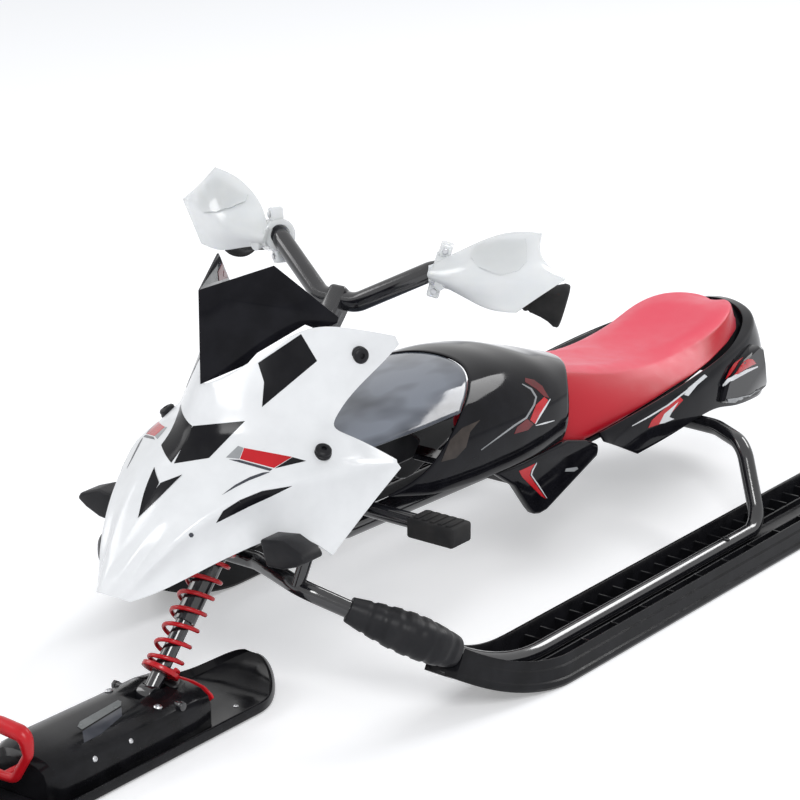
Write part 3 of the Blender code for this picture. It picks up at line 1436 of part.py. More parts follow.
# Moving groups: each hangs on an empty that stands on its joint's axis
STEERING = ["steerer_tube", "upper_spring_seat", "stem_clamp", "handlebar", "grip_left", "grip_right",
            "guard_clamp_left", "guard_clamp_right", "hand_guard_left", "hand_guard_right"]
FORK = ["fork_leg", "lower_spring_seat", "fork_spring"]
FRONT_SKI = ["front_ski", "reel_housing", "housing_trim", "ski_pin"]


def carry(name, place, turn, nodes, holder=None):
    """An empty on a joint's axis that carries a group of parts."""
    empty = bpy.data.objects.new(name, None)
    empty.empty_display_size = 0.03
    empty.location = place
    empty.rotation_euler = turn
    PARTS.objects.link(empty)
    bpy.context.view_layer.update()
    for item in [PARTS.objects[node] for node in nodes]:
        item.parent = empty
        item.matrix_parent_inverse = empty.matrix_world.inverted()
    if holder is not None:
        empty.parent = holder
        empty.matrix_parent_inverse = holder.matrix_world.inverted()
    return empty


ALONG_STRUT = (-RAKE, 0.0, 0.0)
steering_axis = carry("steering_axis", on_axis(BAR_AT), ALONG_STRUT, STEERING)
fork_axis = carry("fork_axis", on_axis(0.0), ALONG_STRUT, FORK, steering_axis)
ski_pivot = carry("ski_pivot", on_axis(-PIVOT_DOWN), (0.0, 0.0, 0.0), FRONT_SKI, fork_axis)
carry("reel_axis", (0.0, REEL_Y, 0.0), (0.0, 0.0, 0.0), ["tow_reel"], ski_pivot)
carry("handle_axis", (0.0, TOW_Y, TOW_PORT_Z), (0.0, 0.0, 0.0), ["tow_handle"], ski_pivot)
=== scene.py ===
"""Dressed scene of a children's ski bike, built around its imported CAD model."""
import json
import math

import bmesh
import bpy
from mathutils import Matrix, Vector, geometry
from mathutils.bvhtree import BVHTree


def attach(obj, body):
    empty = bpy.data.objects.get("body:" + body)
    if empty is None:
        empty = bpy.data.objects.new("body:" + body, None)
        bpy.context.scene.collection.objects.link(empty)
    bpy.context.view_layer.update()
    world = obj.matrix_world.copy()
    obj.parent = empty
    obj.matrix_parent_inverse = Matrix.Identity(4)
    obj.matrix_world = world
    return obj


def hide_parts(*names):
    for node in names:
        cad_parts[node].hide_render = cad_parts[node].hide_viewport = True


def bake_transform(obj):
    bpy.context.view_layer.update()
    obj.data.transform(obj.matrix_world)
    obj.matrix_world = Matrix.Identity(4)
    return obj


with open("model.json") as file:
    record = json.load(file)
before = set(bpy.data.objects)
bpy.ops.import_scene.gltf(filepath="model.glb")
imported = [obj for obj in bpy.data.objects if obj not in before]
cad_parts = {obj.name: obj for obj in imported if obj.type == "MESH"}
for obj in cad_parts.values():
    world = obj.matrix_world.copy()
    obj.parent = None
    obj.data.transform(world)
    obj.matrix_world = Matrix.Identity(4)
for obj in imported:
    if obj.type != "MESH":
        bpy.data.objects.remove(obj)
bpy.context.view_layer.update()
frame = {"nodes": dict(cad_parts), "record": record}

# Camera of the photograph
TARGET = Vector((0.0, 0.03, 0.231))
AZIMUTH = math.radians(37.0)
ELEVATION = math.radians(19.0)
DISTANCE = 3.3
FRAME_PIXELS = 800.0
FOCAL_PIXELS = 3187.8
SENSOR = 36.0

# Driving sizes, the same as in the CAD source
HALF_LENGTH = 0.690
GAP = 0.0003
FRAME_R = 0.009
SPINE_R = 0.012
SPINE_KNEE = Vector((0.0, -0.070, 0.119))
HOOP_REAR_Y = 0.470
HOOP_REAR_Z = 0.1035
HOOP_KNEE = Vector((0.100, -0.262, 0.142))
HOOP_END = Vector((0.138, -0.2355, 0.1205))
FOOT_BAR_R = 0.008
FOOT_BAR_Z = 0.1745
FOOT_BAR_KNEE = Vector((0.075, -0.128, 0.1775))
FOOT_BAR_END = Vector((0.178, -0.130, 0.1780))
PEG_FRONT = -0.3080
PEG_REAR = -0.2790
PEG_POST_Z = 0.1855
BAR_R = 0.010
FOOT = Vector((0.0, -0.352, 0.062))
RAKE = math.radians(42.7)
AXIS = Vector((0.0, math.sin(RAKE), math.cos(RAKE)))
STEERER_R = 0.0112
LEG_R = 0.0078
SEAT_DISC_R = 0.0195
UPPER_SEAT_AT = 0.136
BAR_AT = 0.413
BAR_CORNER = Vector((0.100, -0.042, 0.408))
BAR_TIP = Vector((0.205, 0.021, 0.374))
COIL_MEAN_R = 0.0160
COIL_WIRE_R = 0.0022
COIL_TURNS = 8.5
PIVOT_DOWN = 0.028
HOUSING_REAR = -0.324
HOUSING_FRONT = -0.550
HOUSING_HALF = 0.045
TOW_Y = -0.572
TOW_PORT_Z = 0.034
REAR_SKI_X = 0.2155
REAR_SKI_HALF = 0.0415
REAR_SKI_HEEL = 0.600
HEEL_WALL = REAR_SKI_HEEL - 0.006
TOE_START = -0.020
TOE_R = 0.250
TOE_END = -0.178
TOE_TAPER_Y = -0.03
HEEL_TAPER_Y = 0.56
CHANNEL_HALF = 0.0145
CHANNEL_FLOOR = 0.0155
RAIL_Z = CHANNEL_FLOOR + GAP + FRAME_R
SEAT_SLOPE = 0.098
SEAT_BASE_Y = 0.252
SEAT_BASE_Z = 0.136
SHELL = 0.0026
TAIL_SHELL = 0.0028
SCREEN_WALL = 0.0022
GUARD_WALL = 0.0024
BLOCK_ROOT = 0.0120
SCREW_R = 0.0080

# Distances at which two points count as the same
NEAR = 0.000001
WELD = 0.000005
MIRROR_WELD = 0.00005

# Sides, backdrop and floor
SIDES = (("left", 1.0), ("right", -1.0))
WHITE = (1.0, 1.0, 1.0, 1.0)
SKY = (0.93, 0.96, 1.0, 1.0)
SKY_LEVEL = 0.48
FLOOR_COLOUR = (0.90, 0.90, 0.91, 1.0)
FLOOR_GLOW = 0.30
FLOOR_HALF = 9.0
FLOOR_DROP = 0.0005


# Camera
def camera_frame():
    """Place and turn of the camera of the photograph."""
    away = Vector((math.sin(AZIMUTH) * math.cos(ELEVATION), -math.cos(AZIMUTH) * math.cos(ELEVATION),
                   math.sin(ELEVATION)))
    return TARGET + away * DISTANCE, (-away).to_track_quat("-Z", "Y")


def pixel_ray(u, v):
    """Start and direction of the line of sight through a pixel of the photograph."""
    place, turn = camera_frame()
    middle = FRAME_PIXELS / 2.0
    direction = turn @ Vector(((u - middle) / FOCAL_PIXELS, (middle - v) / FOCAL_PIXELS, -1.0))
    return place, direction.normalized()


def put(name, data, place, turn):
    item = bpy.data.objects.new(name, data)
    item.location = place
    item.rotation_mode = "QUATERNION"
    item.rotation_quaternion = turn
    bpy.context.scene.collection.objects.link(item)
    return item


def make_camera():
    data = bpy.data.cameras.new("photo_camera")
    data.sensor_width = SENSOR
    data.lens = FOCAL_PIXELS * SENSOR / FRAME_PIXELS
    data.clip_end = 50.0
    bpy.context.scene.camera = put("photo_camera", data, *camera_frame())


# Studio
LIGHTS = [
    # name, place, target, width and height, power
    ("key", (2.2, -2.4, 2.6), (0.0, 0.0, 0.2), (1.3, 1.1), 66.0),
    ("fill", (-2.6, -1.2, 2.0), (0.0, 0.0, 0.2), (1.4, 1.4), 24.0),
    ("back", (0.6, 2.8, 2.4), (0.0, 0.1, 0.2), (1.8, 0.8), 46.0),
]


def area_light(name, place, target, size, power):
    data = bpy.data.lights.new(name, "AREA")
    data.shape = "RECTANGLE"
    data.size, data.size_y = size
    data.energy = power
    put(name, data, place, (Vector(target) - Vector(place)).to_track_quat("-Z", "Y"))


def feed(tree, node, inputs):
    """Gives inputs of a node a value, or links the socket that drives them."""
    for key, value in inputs.items():
        if isinstance(value, bpy.types.NodeSocket):
            tree.links.new(value, node.inputs[key])
        else:
            node.inputs[key].default_value = value


def add_node(tree, kind, inputs, output=0):
    """Adds a node and returns one of its outputs."""
    node = tree.nodes.new("ShaderNode" + kind)
    feed(tree, node, inputs)
    return node.outputs[output]


def combine(tree, operation, *values):
    """Result of a math node over values and sockets."""
    node = tree.nodes.new("ShaderNodeMath")
    node.operation = operation
    feed(tree, node, dict(enumerate(values)))
    return node.outputs[0]


def seen_directly(tree):
    """A factor that is 1 for camera, glossy and transmission rays."""
    seen = add_node(tree, "LightPath", {}, "Is Camera Ray")
    for kind in ("Is Glossy Ray", "Is Transmission Ray"):
        seen = combine(tree, "MAXIMUM", seen, add_node(tree, "LightPath", {}, kind))
    return seen


def make_world():
    world = bpy.data.worlds.new("studio")
    bpy.context.scene.world = world
    world.use_nodes = True
    tree = world.node_tree
    tree.nodes.clear()
    lighting = add_node(tree, "Background", {"Color": SKY, "Strength": SKY_LEVEL})
    backdrop = add_node(tree, "Background", {"Color": WHITE, "Strength": 1.0})
    mix = add_node(tree, "MixShader", {0: seen_directly(tree), 1: lighting, 2: backdrop})
    feed(tree, tree.nodes.new("ShaderNodeOutputWorld"), {"Surface": mix})


def make_floor():
    bm = bmesh.new()
    bmesh.ops.create_grid(bm, x_segments=1, y_segments=1, size=FLOOR_HALF)
    item = mesh_object("floor", bm, smooth=False)
    item.location.z = -FLOOR_DROP
    mat = bpy.data.materials.new("floor_pale")
    mat.use_nodes = True
    tree = mat.node_tree
    tree.nodes.clear()
    diffuse = add_node(tree, "BsdfDiffuse", {"Color": FLOOR_COLOUR})
    strength = combine(tree, "MULTIPLY", seen_directly(tree), FLOOR_GLOW)
    glow = add_node(tree, "Emission", {"Color": WHITE, "Strength": strength})
    total = add_node(tree, "AddShader", {0: diffuse, 1: glow})
    feed(tree, tree.nodes.new("ShaderNodeOutputMaterial"), {"Surface": total})
    item.data.materials.append(mat)


# Materials
CLOUD_SCALE = 38.0
GLOSS_SCALE = 65.0
GRAIN_DEPTH = 0.0006
LOOKS = {
    # name: colour, second colour, roughness low and high, specular, grain scale, grain strength
    "black_paint": ((0.008, 0.008, 0.010), (0.013, 0.013, 0.016), (0.07, 0.15), 0.80, 420.0, 0.03),
    "black_plastic": ((0.010, 0.010, 0.012), (0.018, 0.018, 0.020), (0.32, 0.50), 0.18, 2400.0, 0.18),
    "black_gloss": ((0.005, 0.005, 0.007), (0.009, 0.009, 0.012), (0.04, 0.10), 0.10, 90.0, 0.012),
    "ski_black": ((0.006, 0.006, 0.007), (0.011, 0.011, 0.013), (0.10, 0.22), 0.14, 160.0, 0.03),
    "white_gloss": ((0.82, 0.83, 0.84), (0.86, 0.87, 0.88), (0.14, 0.24), 0.45, 110.0, 0.012),
    "red_paint": ((0.56, 0.006, 0.014), (0.46, 0.005, 0.010), (0.16, 0.30), 0.40, 500.0, 0.05),
    "red_plastic": ((0.58, 0.008, 0.016), (0.48, 0.006, 0.012), (0.28, 0.42), 0.35, 1800.0, 0.08),
    "dark_rubber": ((0.014, 0.014, 0.015), (0.024, 0.023, 0.023), (0.58, 0.80), 0.18, 1900.0, 0.25),
    "zinc": ((0.52, 0.53, 0.55), (0.62, 0.62, 0.63), (0.24, 0.42), 0.50, 1300.0, 0.10),
}
DECAL_GRAIN = (300.0, 0.02)
DECALS = {
    # name: colour, second colour, roughness low and high, specular, slot
    "red_decal": ((0.60, 0.008, 0.016), (0.50, 0.006, 0.012), (0.10, 0.20), 0.30, "red_paint"),
    "dark_red_decal": ((0.17, 0.006, 0.010), (0.11, 0.005, 0.008), (0.10, 0.20), 0.30, "red_paint"),
    "black_decal": ((0.006, 0.006, 0.008), (0.011, 0.011, 0.013), (0.12, 0.22), 0.13, "black_gloss"),
    "white_decal": ((0.80, 0.81, 0.83), (0.72, 0.73, 0.75), (0.12, 0.22), 0.40, "white_gloss"),
    "grey_decal": ((0.36, 0.37, 0.38), (0.27, 0.28, 0.29), (0.14, 0.26), 0.35, "grey_gloss"),
    "slate_decal": ((0.060, 0.064, 0.078), (0.040, 0.043, 0.055), (0.14, 0.26), 0.30, "grey_gloss"),
    "label_decal": ((0.15, 0.16, 0.16), (0.10, 0.11, 0.11), (0.16, 0.28), 0.25, "grey_gloss"),
    # Painted reflection: brownish colour of the patch on the tank's lower side
    "bronze_painted_reflection": ((0.060, 0.048, 0.042), (0.030, 0.024, 0.022), (0.16, 0.28), 0.15, "black_gloss"),
}
MADE = {}


def new_look(name):
    """An empty material, its nodes and its main shader."""
    mat = bpy.data.materials.new("look_" + name)
    mat.use_nodes = True
    return mat, mat.node_tree, mat.node_tree.nodes["Principled BSDF"]


def noise(tree, scale, detail=3.0, stretch=None):
    """Noise over the object's own coordinates, in metres."""
    place = add_node(tree, "TexCoord", {}, "Object")
    if stretch is not None:
        place = add_node(tree, "Mapping", {"Vector": place, "Scale": stretch})
    return add_node(tree, "TexNoise", {"Vector": place, "Scale": scale, "Detail": detail}, "Fac")


def colour_blend(tree, factor, one, two, low=0.35, high=0.65):
    ramp = tree.nodes.new("ShaderNodeValToRGB")
    for element, place, colour in zip(ramp.color_ramp.elements, (low, high), (one, two)):
        element.position = place
        element.color = (*colour, 1.0)
    feed(tree, ramp, {"Fac": factor})
    return ramp.outputs["Color"]


def value_range(tree, factor, low, high, start=0.30, end=0.70):
    inputs = {"Value": factor, "From Min": start, "From Max": end, "To Min": low, "To Max": high}
    return add_node(tree, "MapRange", inputs, "Result")


def bump(tree, height, strength, depth=GRAIN_DEPTH, before=None):
    inputs = {"Height": height, "Strength": strength, "Distance": depth}
    if before is not None:
        inputs["Normal"] = before
    return add_node(tree, "Bump", inputs)


def plain_look(name):
    """Moulded or painted surface: cloudy colour, uneven gloss and a fine skin."""
    if name in DECALS:
        colour, second, rough, specular, _ = DECALS[name]
        scale, strength = DECAL_GRAIN
    else:
        colour, second, rough, specular, scale, strength = LOOKS[name]
    mat, tree, shader = new_look(name)
    feed(tree, shader, {
        "Base Color": colour_blend(tree, noise(tree, CLOUD_SCALE), colour, second),
        "Roughness": value_range(tree, noise(tree, GLOSS_SCALE, 5.0), *rough),
        "Normal": bump(tree, noise(tree, scale, 2.0), strength),
        "Metallic": 1.0 if name == "zinc" else 0.0,
        "Specular IOR Level": specular})
    return mat


def clear_look(name):
    """Milky translucent plastic."""
    mat, tree, shader = new_look(name)
    feed(tree, shader, {
        "Base Color": colour_blend(tree, noise(tree, 30.0), (0.90, 0.93, 0.95), (0.94, 0.96, 0.97)),
        "Roughness": value_range(tree, noise(tree, 70.0, 5.0), 0.10, 0.22),
        "Normal": bump(tree, noise(tree, 120.0, 2.0), 0.03, 0.0008),
        "Transmission Weight": 0.20, "IOR": 1.45, "Coat Weight": 0.4,
        "Subsurface Weight": 0.35, "Subsurface Scale": 1.0, "Subsurface Radius": (0.012, 0.012, 0.014)})
    return mat


def painted_reflection_look(name):
    """Glossy panel with painted reflections: lighter above, with cloudy bluish reflection bands below."""
    mat, tree, shader = new_look(name)
    height = add_node(tree, "SeparateXYZ", {"Vector": add_node(tree, "TexCoord", {}, "Object")}, "Z")
    rise = value_range(tree, height, -0.10, 0.22, 0.18, 0.25)
    reflection_bands = combine(tree, "ADD", rise, noise(tree, 20.0, 2.0, (1.0, 0.5, 1.9)))
    feed(tree, shader, {
        # Painted reflection: the colour runs from near black up to pale bluish grey, rising with height and
        # in stretched bands
        "Base Color": colour_blend(tree, reflection_bands, (0.016, 0.020, 0.032), (0.19, 0.21, 0.25), 0.44, 0.70),
        "Roughness": value_range(tree, noise(tree, GLOSS_SCALE, 5.0), 0.05, 0.12),
        "Specular IOR Level": 0.40})
    return mat


def vinyl_look(name):
    """Stretched vinyl: deep red, with a painted pale pink sheen where it faces up, a leather grain, stretch
    marks and a soft sheen.
    """
    mat, tree, shader = new_look(name)
    # Painted sheen: faces turned up get a pale pink colour as if light falls on them, plus a little random
    # cloud
    upward = add_node(tree, "SeparateXYZ", {"Vector": add_node(tree, "NewGeometry", {}, "Normal")}, "Z")
    painted_top_sheen = combine(tree, "MULTIPLY_ADD", noise(tree, 14.0, 4.0), 0.12, upward)
    cells = tree.nodes.new("ShaderNodeTexVoronoi")
    cells.feature = "DISTANCE_TO_EDGE"
    feed(tree, cells, {"Vector": add_node(tree, "TexCoord", {}, "Object"), "Scale": 620.0})
    creases = bump(tree, noise(tree, 22.0, 3.0, (1.0, 0.35, 1.0)), 0.18, 0.004)
    feed(tree, shader, {
        "Base Color": colour_blend(tree, painted_top_sheen, (0.50, 0.006, 0.018), (0.80, 0.060, 0.105), 0.80, 1.05),
        "Roughness": value_range(tree, noise(tree, 55.0, 6.0), 0.30, 0.42),
        "Normal": bump(tree, cells.outputs["Distance"], 0.28, GRAIN_DEPTH, creases),
        "Specular IOR Level": 0.35, "Sheen Weight": 0.20, "Sheen Roughness": 0.35,
        "Sheen Tint": (1.0, 0.40, 0.56, 1.0)})
    return mat


SPECIAL = {"white_clear": clear_look, "red_vinyl": vinyl_look, "grey_gloss": painted_reflection_look}


def look(name):
    if name not in MADE:
        MADE[name] = SPECIAL.get(name, plain_look)(name)
    return MADE[name]


# Mesh helpers
def mesh_object(name, bm, smooth=True):
    mesh = bpy.data.meshes.new(name)
    bm.to_mesh(mesh)
    bm.free()
    for face in mesh.polygons:
        face.use_smooth = smooth
    item = bpy.data.objects.new(name, mesh)
    bpy.context.scene.collection.objects.link(item)
    return item


def sharpen(item, degrees=35.0):
    item.data.set_sharp_from_angle(angle=math.radians(degrees))
    return item


def face_out(bm):
    bmesh.ops.recalc_face_normals(bm, faces=bm.faces)
    if bm.calc_volume(signed=True) < 0.0:
        bmesh.ops.reverse_faces(bm, faces=bm.faces)
    return bm


def add_bevel(item, width, segments=3, angle=30.0):
    mod = item.modifiers.new("edges", "BEVEL")
    mod.width = width
    mod.segments = segments
    mod.limit_method = "ANGLE"
    mod.angle_limit = math.radians(angle)
    return item


def add_subdivision(item, levels):
    mod = item.modifiers.new("soften", "SUBSURF")
    mod.levels = levels
    mod.render_levels = levels
    mod.boundary_smooth = "PRESERVE_CORNERS"
    return item


def bake(item, degrees=35.0):
    """Turns an object with modifiers, or a curve, into a plain mesh object of the same name."""
    bpy.context.view_layer.update()
    graph = bpy.context.evaluated_depsgraph_get()
    mesh = bpy.data.meshes.new_from_object(item.evaluated_get(graph))
    bm = bmesh.new()
    bm.from_mesh(mesh)
    bm.transform(item.matrix_world)
    bmesh.ops.remove_doubles(bm, verts=bm.verts, dist=WELD)
    name = item.name
    bpy.data.objects.remove(item, do_unlink=True)
    bpy.data.meshes.remove(mesh)
    return sharpen(mesh_object(name, bm), degrees)


def finished(item, bevel=0.0, segments=3):
    """The object with its edges rounded, where a bevel is given, and the sharp ones marked."""
    if bevel > 0.0:
        return bake(add_bevel(item, bevel, segments))
    return sharpen(item)


def cut(item, tools):
    """Cuts an object with closed tools and keeps the plain result."""
    for tool in tools:
        mod = item.modifiers.new(tool.name, "BOOLEAN")
        mod.operation = "DIFFERENCE"
        mod.solver = "EXACT"
        mod.object = tool
    made = bake(item)
    for tool in tools:
        bpy.data.objects.remove(tool, do_unlink=True)
    return made


def join(name, items, degrees=35.0):
    """One object from several plain mesh objects."""
    bm = bmesh.new()
    for item in items:
        part = item.data.copy()
        part.transform(item.matrix_world)
        bm.from_mesh(part)
        bpy.data.meshes.remove(part)
        bpy.data.objects.remove(item, do_unlink=True)
    return sharpen(mesh_object(name, bm), degrees)


def flip(point, side):
    """A point of the left side on the side asked for."""
    return Vector((point[0] * side, point[1], point[2]))


def across(points, side):
    return [flip(point, side) for point in points]


def box_bm(low, high):
    low = Vector(low)
    high = Vector(high)
    bm = bmesh.new()
    bmesh.ops.create_cube(bm, size=1.0)
    bm.transform(Matrix.Translation((low + high) / 2.0) @ Matrix.Diagonal((*(high - low), 1.0)))
    return bm


def box(name, low, high, side, bevel, segments):
    low_x, high_x = sorted((low[0] * side, high[0] * side))
    item = mesh_object(name, box_bm((low_x, low[1], low[2]), (high_x, high[1], high[2])))
    return finished(item, bevel, segments)


def band(bm, lower, upper):
    """Faces between two closed rings of vertices."""
    for corners in zip(lower, lower[1:] + lower[:1], upper[1:] + upper[:1], upper):
        bm.faces.new(corners)


def loft(name, rows):
    """A closed solid through rings of points, with flat ends."""
    bm = bmesh.new()
    made = [[bm.verts.new(point) for point in row] for row in rows]
    for lower, upper in zip(made, made[1:]):
        band(bm, lower, upper)
    bm.faces.new(made[0])
    bm.faces.new(made[-1])
    return mesh_object(name, face_out(bm))


def prism(name, outline, low, high, axis, bevel, segments=3):
    """A flat outline pushed between two levels along x or y."""
    rows = [[(level, u, z) if axis == "x" else (u, level, z) for u, z in outline] for level in (low, high)]
    return finished(loft(name, rows), bevel, segments)


def laid(place, direction):
    """The shift and turn that lay the Z axis along a direction at a place."""
    return Matrix.Translation(place) @ Vector(direction).to_track_quat("Z", "Y").to_matrix().to_4x4()


def rod(name, start, end, radius, sides=32, bevel=0.0):
    start = Vector(start)
    end = Vector(end)
    bm = bmesh.new()
    bmesh.ops.create_cone(bm, cap_ends=True, segments=sides, radius1=radius, radius2=radius,
                          depth=(end - start).length)
    bm.transform(laid((start + end) / 2.0, end - start))
    return finished(mesh_object(name, bm), bevel)


def turned(name, profile, place, direction, sides=56, bevel=0.0):
    """A solid of revolution: profile of (radius, height), its Z axis laid along a direction at a place."""
    solid = profile[0][0] == 0.0
    turns = [2.0 * math.pi * step / sides for step in range(sides)]
    bm = bmesh.new()
    rings = [[bm.verts.new((radius * math.cos(turn), radius * math.sin(turn), height)) for turn in turns]
             for radius, height in (profile[1:-1] if solid else profile)]
    for lower, upper in zip(rings, rings[1:] if solid else rings[1:] + rings[:1]):
        band(bm, lower, upper)
    if solid:
        for ring, (_, height) in ((rings[0], profile[0]), (rings[-1], profile[-1])):
            tip = bm.verts.new((0.0, 0.0, height))
            for one, two in zip(ring, ring[1:] + ring[:1]):
                bm.faces.new((one, two, tip))
    face_out(bm)
    bm.transform(laid(place, direction))
    return finished(mesh_object(name, bm), bevel, 2)


def on_axis(distance):
    return FOOT + AXIS * distance


def rounded_path(points, radius, steps=14):
    points = [Vector(point) for point in points]
    path = [points[0]]
    for before, corner, after in zip(points, points[1:], points[2:]):
        to_before = (before - corner).normalized()
        to_after = (after - corner).normalized()
        angle = to_before.angle(to_after)
        if angle > math.radians(176.0):
            path.append(corner)
            continue
        room = 0.48 * min((before - corner).length, (after - corner).length)
        reach = min(radius / math.tan(angle / 2.0), room)
        size = reach * math.tan(angle / 2.0)
        centre = corner + (to_before + to_after).normalized() * (size / math.sin(angle / 2.0))
        start = corner + to_before * reach - centre
        end = corner + to_after * reach - centre
        sweep = start.angle(end)
        for index in range(steps + 1):
            share = index / steps
            side = math.sin((1.0 - share) * sweep) / math.sin(sweep)
            other = math.sin(share * sweep) / math.sin(sweep)
            path.append(centre + start * side + end * other)
    path.append(points[-1])
    return path


def both_halves(left, radius):
    """Rounded path down the left half and up the right one."""
    return rounded_path(left + across(reversed(left), -1.0), radius)


def tube(name, path, radius, resolution=12, radii=None, cyclic=False):
    curve = bpy.data.curves.new(name, "CURVE")
    curve.dimensions = "3D"
    curve.twist_mode = "MINIMUM"
    curve.bevel_depth = radius
    curve.bevel_resolution = resolution
    curve.use_fill_caps = True
    spline = curve.splines.new("POLY")
    spline.points.add(len(path) - 1)
    spline.use_cyclic_u = cyclic
    for index, point in enumerate(path):
        spline.points[index].co = (*point, 1.0)
        if radii is not None:
            spline.points[index].radius = radii[index] / radius
    item = bpy.data.objects.new(name, curve)
    bpy.context.scene.collection.objects.link(item)
    return bake(item, 50.0)


def crease_edge(item, index, value):
    layer = item.data.attributes.get("crease_edge")
    if layer is None:
        layer = item.data.attributes.new("crease_edge", "FLOAT", "EDGE")
    layer.data[index].value = value


def hold_corners(item, spots):
    """Keeps the vertices at the given points sharp when the surface is rounded."""
    layer = item.data.attributes.new("crease_vert", "FLOAT", "POINT")
    for vertex in item.data.vertices:
        if any((vertex.co - Vector(spot)).length < NEAR for spot in spots):
            layer.data[vertex.index].value = 1.0


def shell(item, thickness, levels, inside, mirrored=True, clear=0.0):
    """Gives an open half surface its other half, smooth curves and a wall towards the inside point."""
    bm = bmesh.new()
    bm.from_mesh(item.data)
    bmesh.ops.recalc_face_normals(bm, faces=bm.faces)
    balance = 0.0
    for face in bm.faces:
        outward = face.calc_center_median() - inside
        balance += face.normal.dot(outward.normalized()) * face.calc_area()
    if balance < 0.0:
        bmesh.ops.reverse_faces(bm, faces=bm.faces)
    bm.to_mesh(item.data)
    bm.free()
    if mirrored:
        mirror = item.modifiers.new("other_half", "MIRROR")
        mirror.use_clip = True
        mirror.merge_threshold = MIRROR_WELD
    if levels:
        add_subdivision(item, levels)
    wall = item.modifiers.new("wall", "SOLIDIFY")
    wall.thickness = thickness + clear
    wall.offset = 2.0 * clear / (thickness + clear) - 1.0
    return bake(add_bevel(item, thickness * 0.30, 2, 50.0), 40.0)


def grid_faces(bm, rows):
    for lower, upper in zip(rows, rows[1:]):
        for corners in zip(lower, lower[1:], upper[1:], upper):
            bm.faces.new(corners)


def sheet(name, rows):
    """An open surface through rows of points."""
    bm = bmesh.new()
    grid_faces(bm, [[bm.verts.new(point) for point in row] for row in rows])
    return mesh_object(name, bm)


# Slots of the looks that have none of their own, and CAD nodes with another name than their piece
SLOTS = {name: row[-1] for name, row in DECALS.items()}
SLOTS["ski_black"] = "black_plastic"
STANDS_FOR = {"rear_hoop_shown": "rear_hoop_tube", "front_hoop_shown": "front_hoop_tube",
              "spine_shown": "spine_tube", "seat_cushion_cover": "seat_cushion"}


def show(item, body, look_name):
    """Gives a piece its material and its body, and hides the CAD node that it stands for, if any."""
    item.data.materials.clear()
    item.data.materials.append(look(look_name))
    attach(item, body)
    node = STANDS_FOR.get(item.name, item.name.replace("_shown", ""))
    if node in frame["nodes"]:
        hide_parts(node)
    return item


# Patches laid on a surface, outlined in the photograph's pixels and mirrored to the far side
def lies_within(point, outline):
    odd = False
    for one, two in zip(outline, outline[1:] + outline[:1]):
        if (one.y > point.y) != (two.y > point.y):
            if point.x < one.x + (point.y - one.y) * (two.x - one.x) / (two.y - one.y):
                odd = not odd
    return odd


def fill_outline(outline, step):
    """Points and triangles that fill a flat outline evenly."""
    outline = [Vector(pair) for pair in outline]
    ring = []
    for one, two in zip(outline, outline[1:] + outline[:1]):
        count = max(1, round((two - one).length / step))
        ring += [one.lerp(two, index / count) for index in range(count)]
    points = list(ring)
    low = Vector((min(p.x for p in outline), min(p.y for p in outline)))
    high = Vector((max(p.x for p in outline), max(p.y for p in outline)))
    for row in range(int((high.y - low.y) / step) + 1):
        for column in range(int((high.x - low.x) / step) + 1):
            spot = low + Vector(((column + 0.5 * (row % 2)) * step, row * step))
            if lies_within(spot, outline) and min((spot - other).length for other in ring) > 0.45 * step:
                points.append(spot)
    result = geometry.delaunay_2d_cdt(points, [], [list(range(len(ring)))], 1, 0.00001)
    return result[0], result[2]


def surface_of(item):
    bpy.context.view_layer.update()
    return BVHTree.FromObject(item, bpy.context.evaluated_depsgraph_get())


def seen_at(tree, pixel, reach=DISTANCE):
    """Where a pixel shows a surface, or the nearest point to that, its outward normal and its distance."""
    start, direction = pixel_ray(*pixel)
    hit, normal, _, distance = tree.ray_cast(start, direction)
    if hit is None:
        hit, normal, _, _ = tree.find_nearest(start + direction * reach)
        distance = reach
    if normal.dot(direction) > 0.0:
        normal = -normal
    return hit, normal, distance


def patch(name, pixels, skin, body, look_name, lift, step, sides):
    """A thin patch on a surface; it lies where the outline is seen in the photograph."""
    flat, triangles = fill_outline(pixels, step)
    tree = surface_of(skin)
    points = []
    reach = DISTANCE
    for pixel in flat:
        hit, normal, reach = seen_at(tree, pixel, reach)
        points.append(hit + normal * lift)
    for label, side in sides:
        bm = bmesh.new()
        verts = [bm.verts.new(point) for point in across(points, side)]
        for face in triangles:
            bm.faces.new([verts[index] for index in face])
        item = mesh_object(name + "_" + label, bm)
        if item.data.polygons[0].normal.x * side < 0.0:
            item.data.flip_normals()
        wall = item.modifiers.new("wall", "SOLIDIFY")
        wall.thickness = lift * 0.9
        wall.offset = -1.0
        show(bake(item), body, look_name)


def stroke(line, width):
    """Outline of a line of even width that thins out at its ends."""
    line = [Vector(pair) for pair in line]
    last = len(line) - 1
    near = []
    far = []
    for index, point in enumerate(line):
        along = line[min(last, index + 1)] - line[max(0, index - 1)]
        out = Vector((-along.y, along.x)).normalized() * width * (0.20 if index in (0, last) else 0.5)
        near.append(point + out)
        far.append(point - out)
    return near + far[::-1]


def screws(name, pixel, skin, radius, body, look_name):
    """Round screw heads with a socket, on both sides, one of them at a pixel of the photograph."""
    place, normal, _ = seen_at(surface_of(skin), pixel)
    shape = [(0.0, -0.30), (0.95, -0.30), (1.0, 0.10), (0.80, 0.34), (0.42, 0.42), (0.36, 0.12), (0.0, 0.12)]
    profile = [(x * radius, z * radius) for x, z in shape]
    for label, side in SIDES:
        show(turned(name + "_" + label, profile, *across([place, normal], side), 28), body, look_name)


# Rear skis, rails and boots
def toe_frame(y):
    """Height of the sole, forward direction and upward direction at a station of the rear ski."""
    rise = max(0.0, TOE_START - y)
    angle = math.atan(rise / TOE_R)
    forward = Vector((0.0, -math.cos(angle), math.sin(angle)))
    up = Vector((0.0, math.sin(angle), math.cos(angle)))
    return rise * rise / (2.0 * TOE_R), forward, up


TOE_HEADING = toe_frame(TOE_END)[1]


